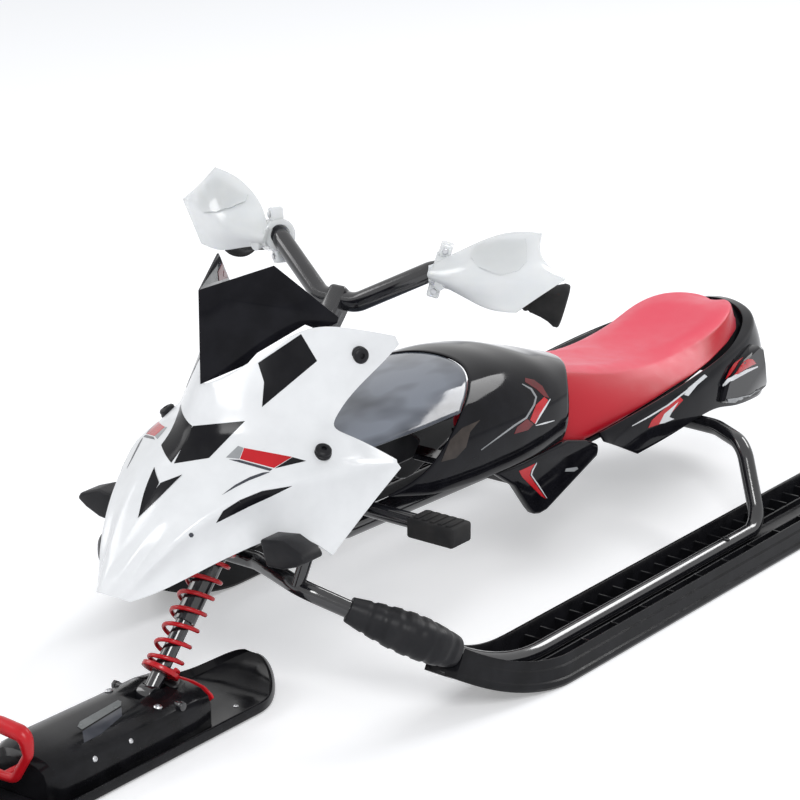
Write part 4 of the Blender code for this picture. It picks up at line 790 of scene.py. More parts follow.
def toe_half(y):
    if y < TOE_TAPER_Y:
        share = (TOE_TAPER_Y - y) / (TOE_TAPER_Y - TOE_END)
        return REAR_SKI_HALF - (REAR_SKI_HALF - 0.0190) * share ** 1.35
    if y > HEEL_TAPER_Y:
        share = (y - HEEL_TAPER_Y) / (REAR_SKI_HEEL - HEEL_TAPER_Y)
        return REAR_SKI_HALF - 0.0130 * share ** 2.4
    return REAR_SKI_HALF


def toe_centre(y):
    share = max(0.0, (TOE_TAPER_Y - y) / (TOE_TAPER_Y - TOE_END))
    return REAR_SKI_X - 0.0105 * share ** 1.6


# Cross section: offset outward from the middle, height
SKI_SECTION = [
    (-0.0400, 0.0000), (-0.0060, 0.0000), (-0.0045, 0.0030), (0.0045, 0.0030), (0.0060, 0.0000),
    (0.0400, 0.0000), (0.0415, 0.0030), (0.0412, 0.0078), (0.0390, 0.0092), (0.0386, 0.0205),
    (0.0364, 0.0220), (0.0360, 0.0310), (0.0345, 0.0310), (0.0335, 0.0235),
    (0.0275, 0.0235), (0.0265, 0.0160), (0.0155, 0.0160), (0.0145, 0.0220), (0.0118, 0.0220),
    (0.0115, CHANNEL_FLOOR), (-0.0115, CHANNEL_FLOOR), (-0.0118, 0.0220), (-0.0145, 0.0220),
    (-0.0155, 0.0120), (-0.0345, 0.0120), (-0.0365, 0.0330), (-0.0400, 0.0330), (-0.0415, 0.0030),
]


def ski_station(y, side):
    ground, _, up = toe_frame(y)
    stretch = (toe_half(y) - CHANNEL_HALF) / (REAR_SKI_HALF - CHANNEL_HALF)
    ring = []
    for offset, height in SKI_SECTION:
        reach = abs(offset)
        if reach > CHANNEL_HALF:
            reach = CHANNEL_HALF + (reach - CHANNEL_HALF) * stretch
        if y >= HEEL_WALL and height > 0.003:
            height = max(height, 0.0290)
        base = Vector(((toe_centre(y) + math.copysign(reach, offset)) * side, y, ground))
        ring.append(base + up * height)
    return ring


def rail_point(y):
    ground, _, up = toe_frame(y)
    return Vector((toe_centre(y), y, ground)) + up * RAIL_Z


def spaced(first, last, count):
    return [first + (last - first) * index / (count - 1) for index in range(count)]


# Rows of ribs: from x, to x, from z, to z, one at every how many places
SKI_RIBS = [(-0.0375, -0.0150, 0.0100, 0.0235, 1), (0.0145, 0.0355, 0.0140, 0.0232, 2)]
SKI_RIB_FROM = 0.570
SKI_RIB_COUNT = 22
SKI_RIB_PITCH = 0.027
SKI_RIB_HALF = 0.0013


def rear_ski(label, side):
    """Moulded ski with rows of cross ribs."""
    name = "rear_ski_shown_" + label
    stations = [REAR_SKI_HEEL, HEEL_WALL, HEEL_WALL - GAP]
    stations += spaced(0.590, 0.556, 6) + spaced(0.50, 0.0, 6) + spaced(TOE_START, TOE_END, 22)
    body = loft(name, [ski_station(y, side) for y in stations])
    parts = [bake(add_bevel(body, 0.0007, 2, 25.0))]
    for index in range(SKI_RIB_COUNT):
        y = SKI_RIB_FROM - SKI_RIB_PITCH * index
        for start, end, low, high, every in SKI_RIBS:
            if index % every == 0:
                parts.append(box("rib", (REAR_SKI_X + start, y - SKI_RIB_HALF, low),
                                 (REAR_SKI_X + end, y + SKI_RIB_HALF, high), side, 0.0004, 1))
    show(join(name, parts), "chassis", "ski_black")


def rear_hoop():
    toe = [rail_point(y) for y in spaced(TOE_END + 0.0005, TOE_START, 12)]
    tip = rail_point(TOE_END) + TOE_HEADING * 0.010
    bends = rounded_path([
        (REAR_SKI_X, 0.0, RAIL_Z), (REAR_SKI_X, 0.404, RAIL_Z), (0.174, 0.434, 0.1040),
        (0.120, HOOP_REAR_Y - 0.004, HOOP_REAR_Z), (0.0, HOOP_REAR_Y, HOOP_REAR_Z)], 0.034)
    left = [tip] + toe + bends
    item = tube("rear_hoop_shown", left + across(reversed(left[:-1]), -1.0), FRAME_R)
    show(item, "chassis", "black_paint")
    screws("rail_bolt", (726, 539), item, 0.0042, "chassis", "black_plastic")


HOOP_HEADING = (HOOP_END - HOOP_KNEE).normalized()


def boot_line(count):
    start = rail_point(TOE_END) + TOE_HEADING * 0.0016
    span = (HOOP_END - start).length
    first = start + TOE_HEADING * span * 0.38
    second = HOOP_END + HOOP_HEADING * span * 0.34
    line = []
    for index in range(count):
        share = index / (count - 1.0)
        rest = 1.0 - share
        line.append(start * rest ** 3 + first * 3 * rest ** 2 * share
                    + second * 3 * rest * share ** 2 + HOOP_END * share ** 3)
    return line


BOOT_ROWS = 57
BOOT_POINTS = 40
BOOT_FOLD = 8
BOOT_PLAIN_FROM = 46
BOOT_GROOVE = -0.0010
BOOT_SQUARENESS = 0.75
# Half width and half height, from the ski's toe to the outrigger
BOOT_HALVES = [(0.0185, 0.0170), (0.0205, 0.0195), (0.0215, 0.0205), (0.0210, 0.0205),
               (0.0195, 0.0195), (0.0172, 0.0175), (0.0145, 0.0150), (0.0118, 0.0120)]


def boot_half(share):
    place = share * (len(BOOT_HALVES) - 1)
    index = min(int(place), len(BOOT_HALVES) - 2)
    part = place - index
    one, two = BOOT_HALVES[index], BOOT_HALVES[index + 1]
    return one[0] + (two[0] - one[0]) * part, one[1] + (two[1] - one[1]) * part


def boot(label, side):
    """Moulded sleeve with grooves between rings, where the outrigger meets the ski's toe."""
    line = boot_line(BOOT_ROWS)
    last = BOOT_ROWS - 1
    rows = []
    for index, point in enumerate(line):
        along = (line[min(last, index + 1)] - line[max(0, index - 1)]).normalized()
        if index == 0:
            along = TOE_HEADING
        flat = along.cross(Vector((0.0, 0.0, 1.0))).normalized()
        up = flat.cross(along).normalized()
        swell = 0.0 if index % BOOT_FOLD < 5 or index > BOOT_PLAIN_FROM else BOOT_GROOVE
        wide, tall = (half + swell for half in boot_half(index / last))
        ring = []
        for step in range(BOOT_POINTS):
            turn = 2.0 * math.pi * step / BOOT_POINTS
            round_pair = (math.cos(turn), math.sin(turn))
            x, z = (math.copysign(abs(part) ** BOOT_SQUARENESS, part) for part in round_pair)
            ring.append(point + flat * (x * wide) + up * (z * tall))
        rows.append(across(ring, side))
    item = add_bevel(loft("toe_boot_shown_" + label, rows), 0.0012, 3, 60.0)
    show(bake(item, 60.0), "chassis", "black_plastic")


# Frame
def frame_tubes():
    front_hoop = both_halves([HOOP_END + HOOP_HEADING * 0.028, HOOP_KNEE, (0.055, -0.243, 0.141),
                              (0.020, -0.229, 0.140)], 0.030)
    spine = rounded_path([(0.0, HOOP_REAR_Y - 0.004, HOOP_REAR_Z), SPINE_KNEE, on_axis(0.195)], 0.045)
    foot_bar = both_halves([FOOT_BAR_END, FOOT_BAR_KNEE, (0.030, -0.127, FOOT_BAR_Z)], 0.030)
    made = [("front_hoop_shown", front_hoop, FRAME_R), ("spine_shown", spine, SPINE_R),
            ("foot_bar_shown", foot_bar, FOOT_BAR_R)]
    for label, side in SIDES:
        points = across([HOOP_KNEE + Vector((-0.0040, 0.0020, 0.0010)), (0.1085, -0.2560, PEG_POST_Z),
                         (0.1085, PEG_REAR + GAP, PEG_POST_Z)], side)
        made.append(("peg_post_shown_" + label, rounded_path(points, 0.010), 0.0065))
    for name, path, radius in made:
        show(tube(name, path, radius), "chassis", "black_paint")


def foot_pad(label, side):
    """Rubber pad with a ribbed top."""
    low = Vector((0.140, -0.1465, 0.1665))
    high = Vector((0.196, -0.1135, 0.1885))
    parts = [box("pad_body", low, (high.x, high.y, high.z - 0.0012), side, 0.0034, 4)]
    for index in range(5):
        x = low.x + 0.0088 + 0.0096 * index
        parts.append(box("pad_rib", (x - 0.0030, low.y + 0.0040, high.z - 0.0030),
                         (x + 0.0030, high.y - 0.0040, high.z + 0.0002), side, 0.0009, 2))
    show(join("foot_pad_shown_" + label, parts), "chassis", "dark_rubber")


def front_peg(label, side):
    """Wedge shaped peg."""
    outline = [(0.0880, 0.2030), (0.1160, 0.2075), (0.1400, 0.1985), (0.1440, 0.1920), (0.1330, 0.1850),
               (0.1160, 0.1785), (0.0960, 0.1770)]
    outline = [(x * side, z) for x, z in outline]
    item = prism("front_peg_shown_" + label, outline, PEG_FRONT, PEG_REAR, "y", 0.0030)
    show(item, "chassis", "black_plastic")


# Seat and tail
def seat_level(y):
    return SEAT_BASE_Z + (y - SEAT_BASE_Y) * SEAT_SLOPE


# Station, half width of the base, half width of the rim, level of the rim
SEAT_ROWS = [
    (0.206, 0.0600, 0.0330, 0.2060), (0.218, 0.0765, 0.0425, 0.2170), (0.245, 0.0835, 0.0470, 0.2175),
    (0.290, 0.0885, 0.0530, 0.2055), (0.340, 0.0905, 0.0575, 0.1920), (0.395, 0.0905, 0.0560, 0.1820),
    (0.450, 0.0885, 0.0560, 0.1772), (0.510, 0.0825, 0.0612, 0.1805), (0.565, 0.0720, 0.0655, 0.1905),
    (0.605, 0.0595, 0.0540, 0.1990), (0.635, 0.0405, 0.0320, 0.1970), (0.652, 0.0180, 0.0120, 0.1900),
]
SEAT_POINTS = 17
SEAT_RIM = (5, 11)
SEAM_LEVEL = 0.002
SEAM_CREASE = 0.9
RIM_CREASE = 0.35
HELD_LEVEL = 0.004
CUSHION_START = 0.0015
CUSHION_CAP = 0.0040
CLOTH_FRAMES = 20
CLOTH_SMOOTHING = 6


def seat_ring(y, half, rim_half, rim, shrink):
    """Cross section of the cushion: flat base, sides sloping in to a rounded rim, almost flat top."""
    base = seat_level(y) + GAP
    wide = half - shrink
    rim_wide = rim_half - min(shrink, 0.5 * rim_half)
    top = rim - shrink
    ring = [(wide * 0.35, y, base), (wide * 0.90, y, base), (wide, y, base + (top - base) * 0.06)]
    for lean, up_share in ((0.30, 0.36), (0.66, 0.74), (0.96, 0.97)):
        ring.append((wide + (rim_wide - wide) * lean, y, base + (top - base) * up_share))
    for across_share, rise in ((0.86, 0.0008), (0.45, -0.0016), (0.0, -0.0024)):
        ring.append((rim_wide * across_share, y, top + rise))
    return ring + [(-x, y_value, z) for x, y_value, z in reversed(ring[:-1])]


def seat_cushion():
    """Padded cushion: slightly small form, blown up as cloth, its base held on the pan."""
    shrink = CUSHION_START
    item = loft("seat_cushion_cover", [seat_ring(*row, shrink) for row in SEAT_ROWS])
    for edge in item.data.edges:
        first, second = (item.data.vertices[index].co for index in edge.vertices)
        if max(first.z - seat_level(first.y), second.z - seat_level(second.y)) < SEAM_LEVEL:
            crease_edge(item, edge.index, SEAM_CREASE)
        one, two = (index % SEAT_POINTS for index in edge.vertices)
        if one == two and one in SEAT_RIM:
            crease_edge(item, edge.index, RIM_CREASE)
    item = bake(add_subdivision(item, 2), 180.0)
    inflate(item)
    item = bake(add_subdivision(item, 1), 180.0)
    show(item, "chassis", "red_vinyl")


def inflate(item):
    """Cloth under pressure; each vertex then takes the average move round it, up to the cap."""
    start = [vert.co.copy() for vert in item.data.vertices]
    low = [index for index, point in enumerate(start) if point.z - seat_level(point.y) < HELD_LEVEL]
    item.vertex_groups.new(name="held").add(low, 1.0, "REPLACE")
    cloth = item.modifiers.new("cloth", "CLOTH")
    cloth.settings.use_pressure = True
    cloth.settings.uniform_pressure_force = 6.0
    cloth.settings.mass = 0.05
    cloth.settings.tension_stiffness = 40.0
    cloth.settings.compression_stiffness = 40.0
    cloth.settings.bending_stiffness = 4.0
    cloth.settings.vertex_group_mass = "held"
    cloth.settings.effector_weights.gravity = 0.0
    cloth.settings.quality = 5
    cloth.point_cache.frame_start = 1
    cloth.point_cache.frame_end = CLOTH_FRAMES
    scene = bpy.context.scene
    for number in range(1, CLOTH_FRAMES + 1):
        scene.frame_set(number)
    moved = item.evaluated_get(bpy.context.evaluated_depsgraph_get()).data
    steps = [vert.co - origin for vert, origin in zip(moved.vertices, start)]
    item.modifiers.remove(cloth)
    scene.frame_set(1)
    around = [[index] for index in range(len(steps))]
    for edge in item.data.edges:
        one, two = edge.vertices
        around[one].append(two)
        around[two].append(one)
    for _ in range(CLOTH_SMOOTHING):
        steps = [sum((steps[near] for near in ring), Vector()) / len(ring) for ring in around]
    for index in set(range(len(start))) - set(low):
        step = steps[index]
        if step.length > CUSHION_CAP:
            step = step.normalized() * CUSHION_CAP
        item.data.vertices[index].co = start[index] + step


TAIL_REACH = HALF_LENGTH + 0.00336
TAIL_CREASE = 0.55
LIP_FROM = 0.54
LIP_SPAN = 0.12
LIP_NARROW = 0.0010
LIP_WIDER = 0.016
LIP_RISE = Vector((0.0, 0.0, 0.0030))
# Columns of the left half: upper edge, middle and lower edge
TAIL_COLUMNS = [
    ((0.0975, 0.262, 0.1470), (0.1000, 0.262, 0.1455), (0.1030, 0.262, 0.1420)),
    ((0.0985, 0.325, 0.1500), (0.1030, 0.326, 0.1320), (0.1050, 0.325, 0.1090)),
    ((0.0980, 0.395, 0.1535), (0.1030, 0.396, 0.1340), (0.1050, 0.395, 0.1110)),
    ((0.0955, 0.455, 0.1575), (0.1020, 0.456, 0.1370), (0.1040, 0.455, 0.1165)),
    ((0.0920, 0.505, 0.1610), (0.0990, 0.503, 0.1380), (0.1005, 0.500, 0.1150)),
    ((0.0855, 0.555, 0.1650), (0.0945, 0.550, 0.1390), (0.0950, 0.545, 0.1010)),
    ((0.0735, 0.610, 0.1700), (0.0870, 0.605, 0.1400), (0.0860, 0.600, 0.0930)),
    ((0.0560, 0.652, 0.1760), (0.0720, 0.652, 0.1420), (0.0720, 0.652, 0.0840)),
    ((0.0300, 0.672, 0.1815), (0.0440, 0.682, 0.1440), (0.0460, 0.683, 0.0830)),
    ((0.0000, 0.677, 0.1850), (0.0000, TAIL_REACH, 0.1440), (0.0000, TAIL_REACH, 0.0830)),
]


def tail_surface(name, thickness, clear=0.0):
    """Two side fins, a raised rear lip and a rear wall in one shell."""
    columns = []
    for top, middle, bottom in TAIL_COLUMNS:
        top = Vector(top)
        inward = Vector((-top.x, min(0.0, LIP_FROM - top.y), 0.0))
        reach = LIP_NARROW + LIP_WIDER * max(0.0, min(1.0, (top.y - LIP_FROM) / LIP_SPAN))
        lip = top + inward.normalized() * reach + LIP_RISE
        if top.x == 0.0:
            lip.x = 0.0
        columns.append((lip, top, middle, bottom))
    item = sheet(name, columns)
    for edge in item.data.edges:
        if all(index % 4 == 1 for index in edge.vertices):
            crease_edge(item, edge.index, TAIL_CREASE)
    hold_corners(item, [TAIL_COLUMNS[1][2]])
    return shell(item, thickness, 3, Vector((0.0, 0.40, 0.14)), clear=clear)


def tail_side(y):
    spots = [(column[1][1], max(column[1][0], column[2][0])) for column in TAIL_COLUMNS]
    for (y_one, x_one), (y_two, x_two) in zip(spots, spots[1:]):
        if y_one <= y <= y_two:
            return x_one + (x_two - x_one) * (y - y_one) / (y_two - y_one)
    return spots[-1][1]


def tail_block(label, side):
    """Raised block on each rear corner of the cowl, its back cut to the cowl's surface."""
    outline = [(0.5020, 0.1200), (0.5130, 0.1390), (0.5410, 0.1500), (0.5750, 0.1560), (0.6020, 0.1590),
               (0.6220, 0.1510), (0.6360, 0.1280), (0.6475, 0.1000), (0.6440, 0.0960), (0.6000, 0.0990),
               (0.5500, 0.1060), (0.5130, 0.1150)]
    rows = []
    for reach, scale in ((-BLOCK_ROOT, 1.0), (0.0020, 1.0), (0.0052, 0.93)):
        scaled = [(0.575 + (y - 0.575) * scale, 0.127 + (z - 0.127) * scale) for y, z in outline]
        rows.append([((tail_side(y) + reach) * side, y, z) for y, z in scaled])
    tool = tail_surface("block_back", BLOCK_ROOT + 0.003, GAP)
    return show(cut(loft("tail_block_shown_" + label, rows), [tool]), "chassis", "black_gloss")


# Nose
# Left half, rows from the centre outward, each from the tip of the nose back
FAIRING_TOP = [
    [(0.000, -0.436, 0.170), (0.000, -0.425, 0.187), (0.000, -0.380, 0.225), (0.000, -0.339, 0.257),
     (0.000, -0.317, 0.276), (0.000, -0.299, 0.294), (0.000, -0.291, 0.330), (0.026, -0.250, 0.346),
     (0.054, -0.200, 0.380), (0.073, -0.163, 0.375), (0.096, -0.105, 0.354)],
    [(0.005, -0.434, 0.168), (0.006, -0.422, 0.187), (0.010, -0.384, 0.225), (0.016, -0.343, 0.255),
     (0.022, -0.315, 0.272), (0.030, -0.288, 0.284), (0.040, -0.270, 0.310), (0.052, -0.232, 0.329),
     (0.064, -0.203, 0.350), (0.080, -0.160, 0.352), (0.098, -0.1045, 0.350)],
]
FAIRING_VALLEY = [
    (0.009, -0.430, 0.166), (0.013, -0.418, 0.185), (0.020, -0.386, 0.223), (0.031, -0.347, 0.252),
    (0.041, -0.315, 0.268), (0.053, -0.283, 0.278), (0.090, -0.201, 0.285)]
FAIRING_FLANK = [
    (0.095, -0.184, 0.309), (0.100, -0.151, 0.327), (0.101, -0.128, 0.336), (0.100, -0.104, 0.346)]
FAIRING_WING_TOP = [(0.100, -0.164, 0.264), (0.122, -0.137, 0.241)]
FAIRING_WING = [
    [(0.014, -0.424, 0.163), (0.022, -0.412, 0.182), (0.037, -0.388, 0.212), (0.053, -0.357, 0.238),
     (0.070, -0.320, 0.252), (0.087, -0.287, 0.262), (0.104, -0.240, 0.266), (0.116, -0.190, 0.257),
     (0.124, -0.139, 0.239)],
    [(0.020, -0.415, 0.158), (0.030, -0.396, 0.161), (0.040, -0.378, 0.167), (0.056, -0.345, 0.179),
     (0.075, -0.305, 0.192), (0.098, -0.263, 0.202), (0.120, -0.236, 0.172), (0.126, -0.184, 0.209),
     (0.128, -0.138, 0.234)],
]
FAIRING_SPIKE = 6
# Folds along the wing: share of its width, push out of it
FAIRING_FOLDS = [(0.0, -0.0085), (0.16, 0.0042), (0.62, -0.0062)]
FAIRING_SCREWS = {
    "upper": ((0.0900, -0.152, 0.345), (0.90, -0.42, 0.10)),
    "lower": ((0.0985, -0.222, 0.270), (0.45, -0.25, 0.86)),
}


def between(one, two, share, push):
    """A row between two rows of the fairing, moved out of the surface in its middle."""
    row = []
    last = len(one) - 1
    for index in range(last + 1):
        start = Vector(one[index])
        end = Vector(two[index])
        along = Vector(one[min(last, index + 1)]) - Vector(one[max(0, index - 1)])
        out = (end - start).cross(along).normalized()
        taper = min(1.0, index / 2.0, (last - index) / 1.5)
        row.append(start.lerp(end, share) + out * push * taper)
    return row


def fairing():
    """Beaked nose shell: centre ridge, valley, swept lower wing with a spike, and tall flanks."""
    bm = bmesh.new()
    folds = [between(*FAIRING_WING, share, push) for share, push in FAIRING_FOLDS]
    top = [[bm.verts.new(point) for point in row] for row in FAIRING_TOP]
    valley = [bm.verts.new(point) for point in FAIRING_VALLEY]
    flank = [bm.verts.new(point) for point in FAIRING_FLANK]
    wing_top = [bm.verts.new(point) for point in FAIRING_WING_TOP]
    wing = [[bm.verts.new(point) for point in row] for row in folds + [FAIRING_WING[1]]]
    grid_faces(bm, top + [valley + flank])
    grid_faces(bm, [valley + wing_top] + wing)
    bm.verts.index_update()
    creased = {}
    for chain, value in ((valley, 0.30), (wing[0][1:], 0.60), (wing[1][1:], 0.35), (top[0][:7], 0.25)):
        for first, second in zip(chain, chain[1:]):
            creased[frozenset((first.index, second.index))] = value
    item = mesh_object("fairing_shown", bm)
    for edge in item.data.edges:
        value = creased.get(frozenset(edge.vertices))
        if value is not None:
            crease_edge(item, edge.index, value)
    hold_corners(item, [FAIRING_WING[1][FAIRING_SPIKE]])
    return show(shell(item, SHELL, 3, Vector((0.0, -0.20, 0.22))), "chassis", "white_gloss")


def fairing_screw(level, label, side):
    """Domed cap screw with a hex socket."""
    place, direction = across(FAIRING_SCREWS[level], side)
    collar = SCREW_R + 0.0006
    profile = [(0.0, -0.0050), (collar, -0.0050), (collar, -0.0024), (SCREW_R, -0.0020), (SCREW_R, 0.0012),
               (0.0066, 0.0027), (0.0046, 0.0032), (0.0028, 0.0030), (0.0026, 0.0006), (0.0, 0.0006)]
    item = turned("fairing_screw_shown_%s_%s" % (level, label), profile, place, direction.normalized(), 40)
    show(item, "chassis", "black_plastic")


def windscreen():
    """Two tinted panels that meet in an upright centre edge."""
    lean = 0.51
    front = -0.2855
    outline = [(0.0, 0.3335), (0.0, 0.4270), (0.0358, 0.4405), (0.0662, 0.3800), (0.0655, 0.3745),
               (0.0575, 0.3690), (0.0500, 0.3775), (0.0270, 0.3560), (0.0220, 0.3460)]
    bm = bmesh.new()
    bm.faces.new([bm.verts.new((x, front + x / lean, z)) for x, z in outline])
    item = shell(mesh_object("windscreen_shown", bm), SCREEN_WALL, 0, Vector((0.0, -0.10, 0.38)))
    return show(item, "chassis", "black_gloss")


# Tank
TANK_STATIONS = [
    # y, half width, top, low edge
    (-0.170, 0.076, 0.2500, 0.1950), (-0.100, 0.090, 0.2580, 0.1820), (-0.030, 0.098, 0.2640, 0.1650),
    (0.050, 0.101, 0.2670, 0.1590), (0.120, 0.101, 0.2640, 0.1565), (0.180, 0.097, 0.2540, 0.1565),
    (0.230, 0.089, 0.2370, 0.1560), (0.296, 0.082, 0.2150, 0.1545),
]
# Half section from the middle down: share of the half width, share of the height
TANK_SECTION = [(0.0, 1.0), (0.25, 0.990), (0.48, 0.955), (0.70, 0.875), (0.86, 0.74), (0.96, 0.54),
                (1.0, 0.30), (0.985, 0.12), (0.930, 0.0)]
# Front and rear edges along y, one value for each point of the half section
PANEL_FRONT = [-0.124, -0.128, -0.145, -0.158, -0.166]
TANK_FRONT = [0.097, 0.094, 0.082, 0.056, 0.022, -0.012, -0.048, -0.078, -0.100]
TANK_REAR = [0.296, 0.288, 0.268, 0.246, 0.226, 0.214, 0.207, 0.204, 0.204]
PANEL_REAR = [y - 0.0022 for y in TANK_FRONT[:len(PANEL_FRONT)]]
PANEL_DEPTH = 0.0012
PANEL_SEAM = 0.0004


def tank_level(y, column):
    if y <= TANK_STATIONS[0][0]:
        return TANK_STATIONS[0][column]
    for before, after in zip(TANK_STATIONS, TANK_STATIONS[1:]):
        if y <= after[0]:
            share = (y - before[0]) / (after[0] - before[0])
            mixed = 0.5 * share + 0.5 * share * share * (3.0 - 2.0 * share)
            return before[column] + (after[column] - before[column]) * mixed
    return TANK_STATIONS[-1][column]


def tank_point(y, row, shrink):
    across_share, up_share = TANK_SECTION[row]
    wide = tank_level(y, 1) - shrink
    top = tank_level(y, 2) - shrink
    low = tank_level(y, 3)
    return wide * across_share, y, low + (top - low) * up_share


def tank_shell(name, fronts, rears, count, shrink, look_name):
    """Part of the tank's skin between a front and a rear edge."""
    columns = []
    for share in spaced(0.0, 1.0, count):
        columns.append([tank_point(front + (rear - front) * share, row, shrink)
                        for row, (front, rear) in enumerate(zip(fronts, rears))])
    return show(shell(sheet(name, columns), SHELL, 2, Vector((0.0, 0.05, 0.19))), "chassis", look_name)


def side_panel(label, side):
    top = [(y, tank_level(at, 3) - PANEL_SEAM) for y, at in ((0.205, 0.190), (0.120, 0.120), (0.071, 0.071))]
    outline = top[2:] + [(0.106, 0.1340), (0.133, 0.1010), (0.142, 0.0915), (0.153, 0.0885), (0.166, 0.0890),
                         (0.262, 0.1225), (0.264, 0.1290), (0.2635, 0.1355), (0.240, 0.1470)] + top[:2]
    low, high = sorted((0.0840 * side, 0.0940 * side))
    item = prism("side_panel_shown_" + label, outline, low, high, "x", 0.0028, 4)
    return show(item, "chassis", "black_gloss")


# Steering
BAR_HEADING = (BAR_TIP - BAR_CORNER).normalized()


def on_bar(distance):
    """Point of the left half of the bar, counted outward from its corner."""
    return BAR_CORNER + BAR_HEADING * distance


def handlebar():
    left = [on_axis(BAR_AT) + Vector((0.022, 0.0, 0.0)), BAR_CORNER, BAR_TIP]
    path = rounded_path(across(reversed(left), -1.0) + left, 0.026)
    show(tube("handlebar_shown", path, BAR_R), "steering", "black_paint")


def grip(label, side):
    """Soft grip with rings and a wide end flange."""
    length = 0.088
    profile = [(0.0, 0.0), (0.0165, 0.0), (0.0205, 0.0006), (0.0220, 0.0018), (0.0222, 0.0060),
               (0.0212, 0.0078), (0.0190, 0.0120), (0.0168, 0.0200), (0.0156, 0.0280)]
    for index in range(8):
        low = 0.0320 + index * 0.0062
        profile += [(0.0152, low), (0.0142, low + 0.0010), (0.0142, low + 0.0026), (0.0152, low + 0.0036)]
    profile += [(0.0150, length - 0.003), (0.0138, length), (0.0, length)]
    end, back = across([BAR_TIP + BAR_HEADING * 0.0040, -BAR_HEADING], side)
    show(turned("grip_shown_" + label, profile, end, back), "steering", "dark_rubber")


def guard_clamp(label, side):
    """Long ring round the bar with two bolted ears, and the lug and arm that hold the guard."""
    axis, start, middle = across([BAR_HEADING, on_bar(0.0130), on_bar(0.0030)], side)
    profile = [(0.0165, 0.0125), (0.0165, -0.0175), (0.0103, -0.0175), (0.0103, 0.0125)]
    root = flip(on_bar(0.0190) + Vector((0.0, -0.0140, -0.0030)), side)
    parts = [turned("guard_ring", profile, start, axis, 48, 0.0008),
             rod("guard_lug", root, root + Vector((0.0, -0.0154, -0.0020)), 0.0052, 32, 0.0006)]
    up = (Vector((0.0, 0.0, 1.0)) - axis * axis.z).normalized()
    front = up.cross(axis) * -side
    turn = Matrix((axis, front, up)).transposed().to_4x4()
    for name, level in (("upper", 0.0215), ("lower", -0.0215)):
        ear = box_bm((-0.0062, -0.0065, -0.0070), (0.0062, 0.0065, 0.0070))
        ear.transform(Matrix.Translation(middle + up * level) @ turn)
        parts.append(finished(mesh_object("guard_ear", face_out(ear)), 0.0022))
        head = middle + up * level + front * 0.0062
        bolt = rod("guard_bolt_%s_%s" % (name, label), head, head + front * 0.0022, 0.0034, 6, 0.0005)
        show(bolt, "steering", "zinc")
    rows = []
    for x, y, z, half in ((0.1060, -0.0460, 0.4040, 0.0120), (0.1050, -0.0540, 0.4065, 0.0100),
                          (0.1045, -0.0610, 0.4085, 0.0080)):
        rows.append([(x * side + wide * 0.0016, y, z + high * half)
                     for wide, high in ((-1.0, -1.0), (1.0, -1.0), (1.0, 1.0), (-1.0, 1.0))])
    parts.append(finished(loft("guard_arm", rows), 0.0008, 2))
    show(join("guard_clamp_shown_" + label, parts), "steering", "white_clear")


# Left guard, rows from the upper to the lower edge, each from the inner end outward
GUARD_ROWS = [
    [(0.104, -0.055, 0.4170), (0.130, -0.030, 0.4340), (0.168, -0.022, 0.455), (0.206, -0.016, 0.457)],
    [(0.103, -0.063, 0.4110), (0.132, -0.068, 0.4200), (0.172, -0.062, 0.437), (0.214, -0.036, 0.438)],
    [(0.103, -0.064, 0.4050), (0.136, -0.074, 0.4050), (0.180, -0.068, 0.408), (0.242, -0.027, 0.419)],
    [(0.104, -0.056, 0.3990), (0.138, -0.056, 0.3915), (0.170, -0.053, 0.379), (0.199, -0.049, 0.383)],
]
GUARD_TIP = GUARD_ROWS[2][3]


def hand_guard(label, side):
    item = sheet("hand_guard_shown_" + label, [across(row, side) for row in GUARD_ROWS])
    hold_corners(item, [flip(GUARD_TIP, side)])
    item = shell(item, GUARD_WALL, 3, Vector((0.160 * side, 0.020, 0.400)), False)
    return show(item, "steering", "white_clear")


AXIS_TURN = Matrix.Rotation(-RAKE, 4, "X")


def stem_clamp():
    """Slim saddle round the middle of the bar, its two bolts at the back."""
    turn = Matrix.Translation(on_axis(BAR_AT)) @ AXIS_TURN
    bm = box_bm((-0.0105, -0.0122, -0.0310), (0.0105, 0.0122, 0.0118))
    bm.transform(turn)
    parts = [finished(mesh_object("stem_block", bm), 0.0052, 6)]
    for level in (-0.0150, -0.0040):
        start, end = (turn @ Vector((0.0, y, level)) for y in (0.0118, 0.0158))
        parts.append(rod("stem_bolt", start, end, 0.0034, 6, 0.0004))
    show(join("stem_clamp_shown", parts), "steering", "black_paint")


# Strut
PIVOT = on_axis(-PIVOT_DOWN)


def fork_leg():
    eye_half = Vector((0.0085, 0.0, 0.0))
    parts = [rod("fork_leg_rod", PIVOT, on_axis(0.235), LEG_R, 40),
             rod("fork_leg_eye", PIVOT - eye_half, PIVOT + eye_half, 0.0105, 40, 0.0008)]
    show(join("fork_leg_shown", parts), "fork", "black_paint")


def spring_seats():
    bore = LEG_R + GAP
    low = [(SEAT_DISC_R, 0.0015), (SEAT_DISC_R, -0.0035), (bore, -0.0035), (bore, 0.0015)]
    show(turned("lower_spring_seat_shown", low, on_axis(0.0), AXIS, 56, 0.0006), "fork", "red_paint")
    bore = STEERER_R + GAP
    at = UPPER_SEAT_AT
    high = [(SEAT_DISC_R, at + 0.0045), (SEAT_DISC_R, at), (bore, at), (bore, at + 0.0100),
            (0.0150, at + 0.0100), (0.0150, at + 0.0045)]
    show(turned("upper_spring_seat_shown", high, FOOT, AXIS, 56, 0.0006), "steering", "black_plastic")


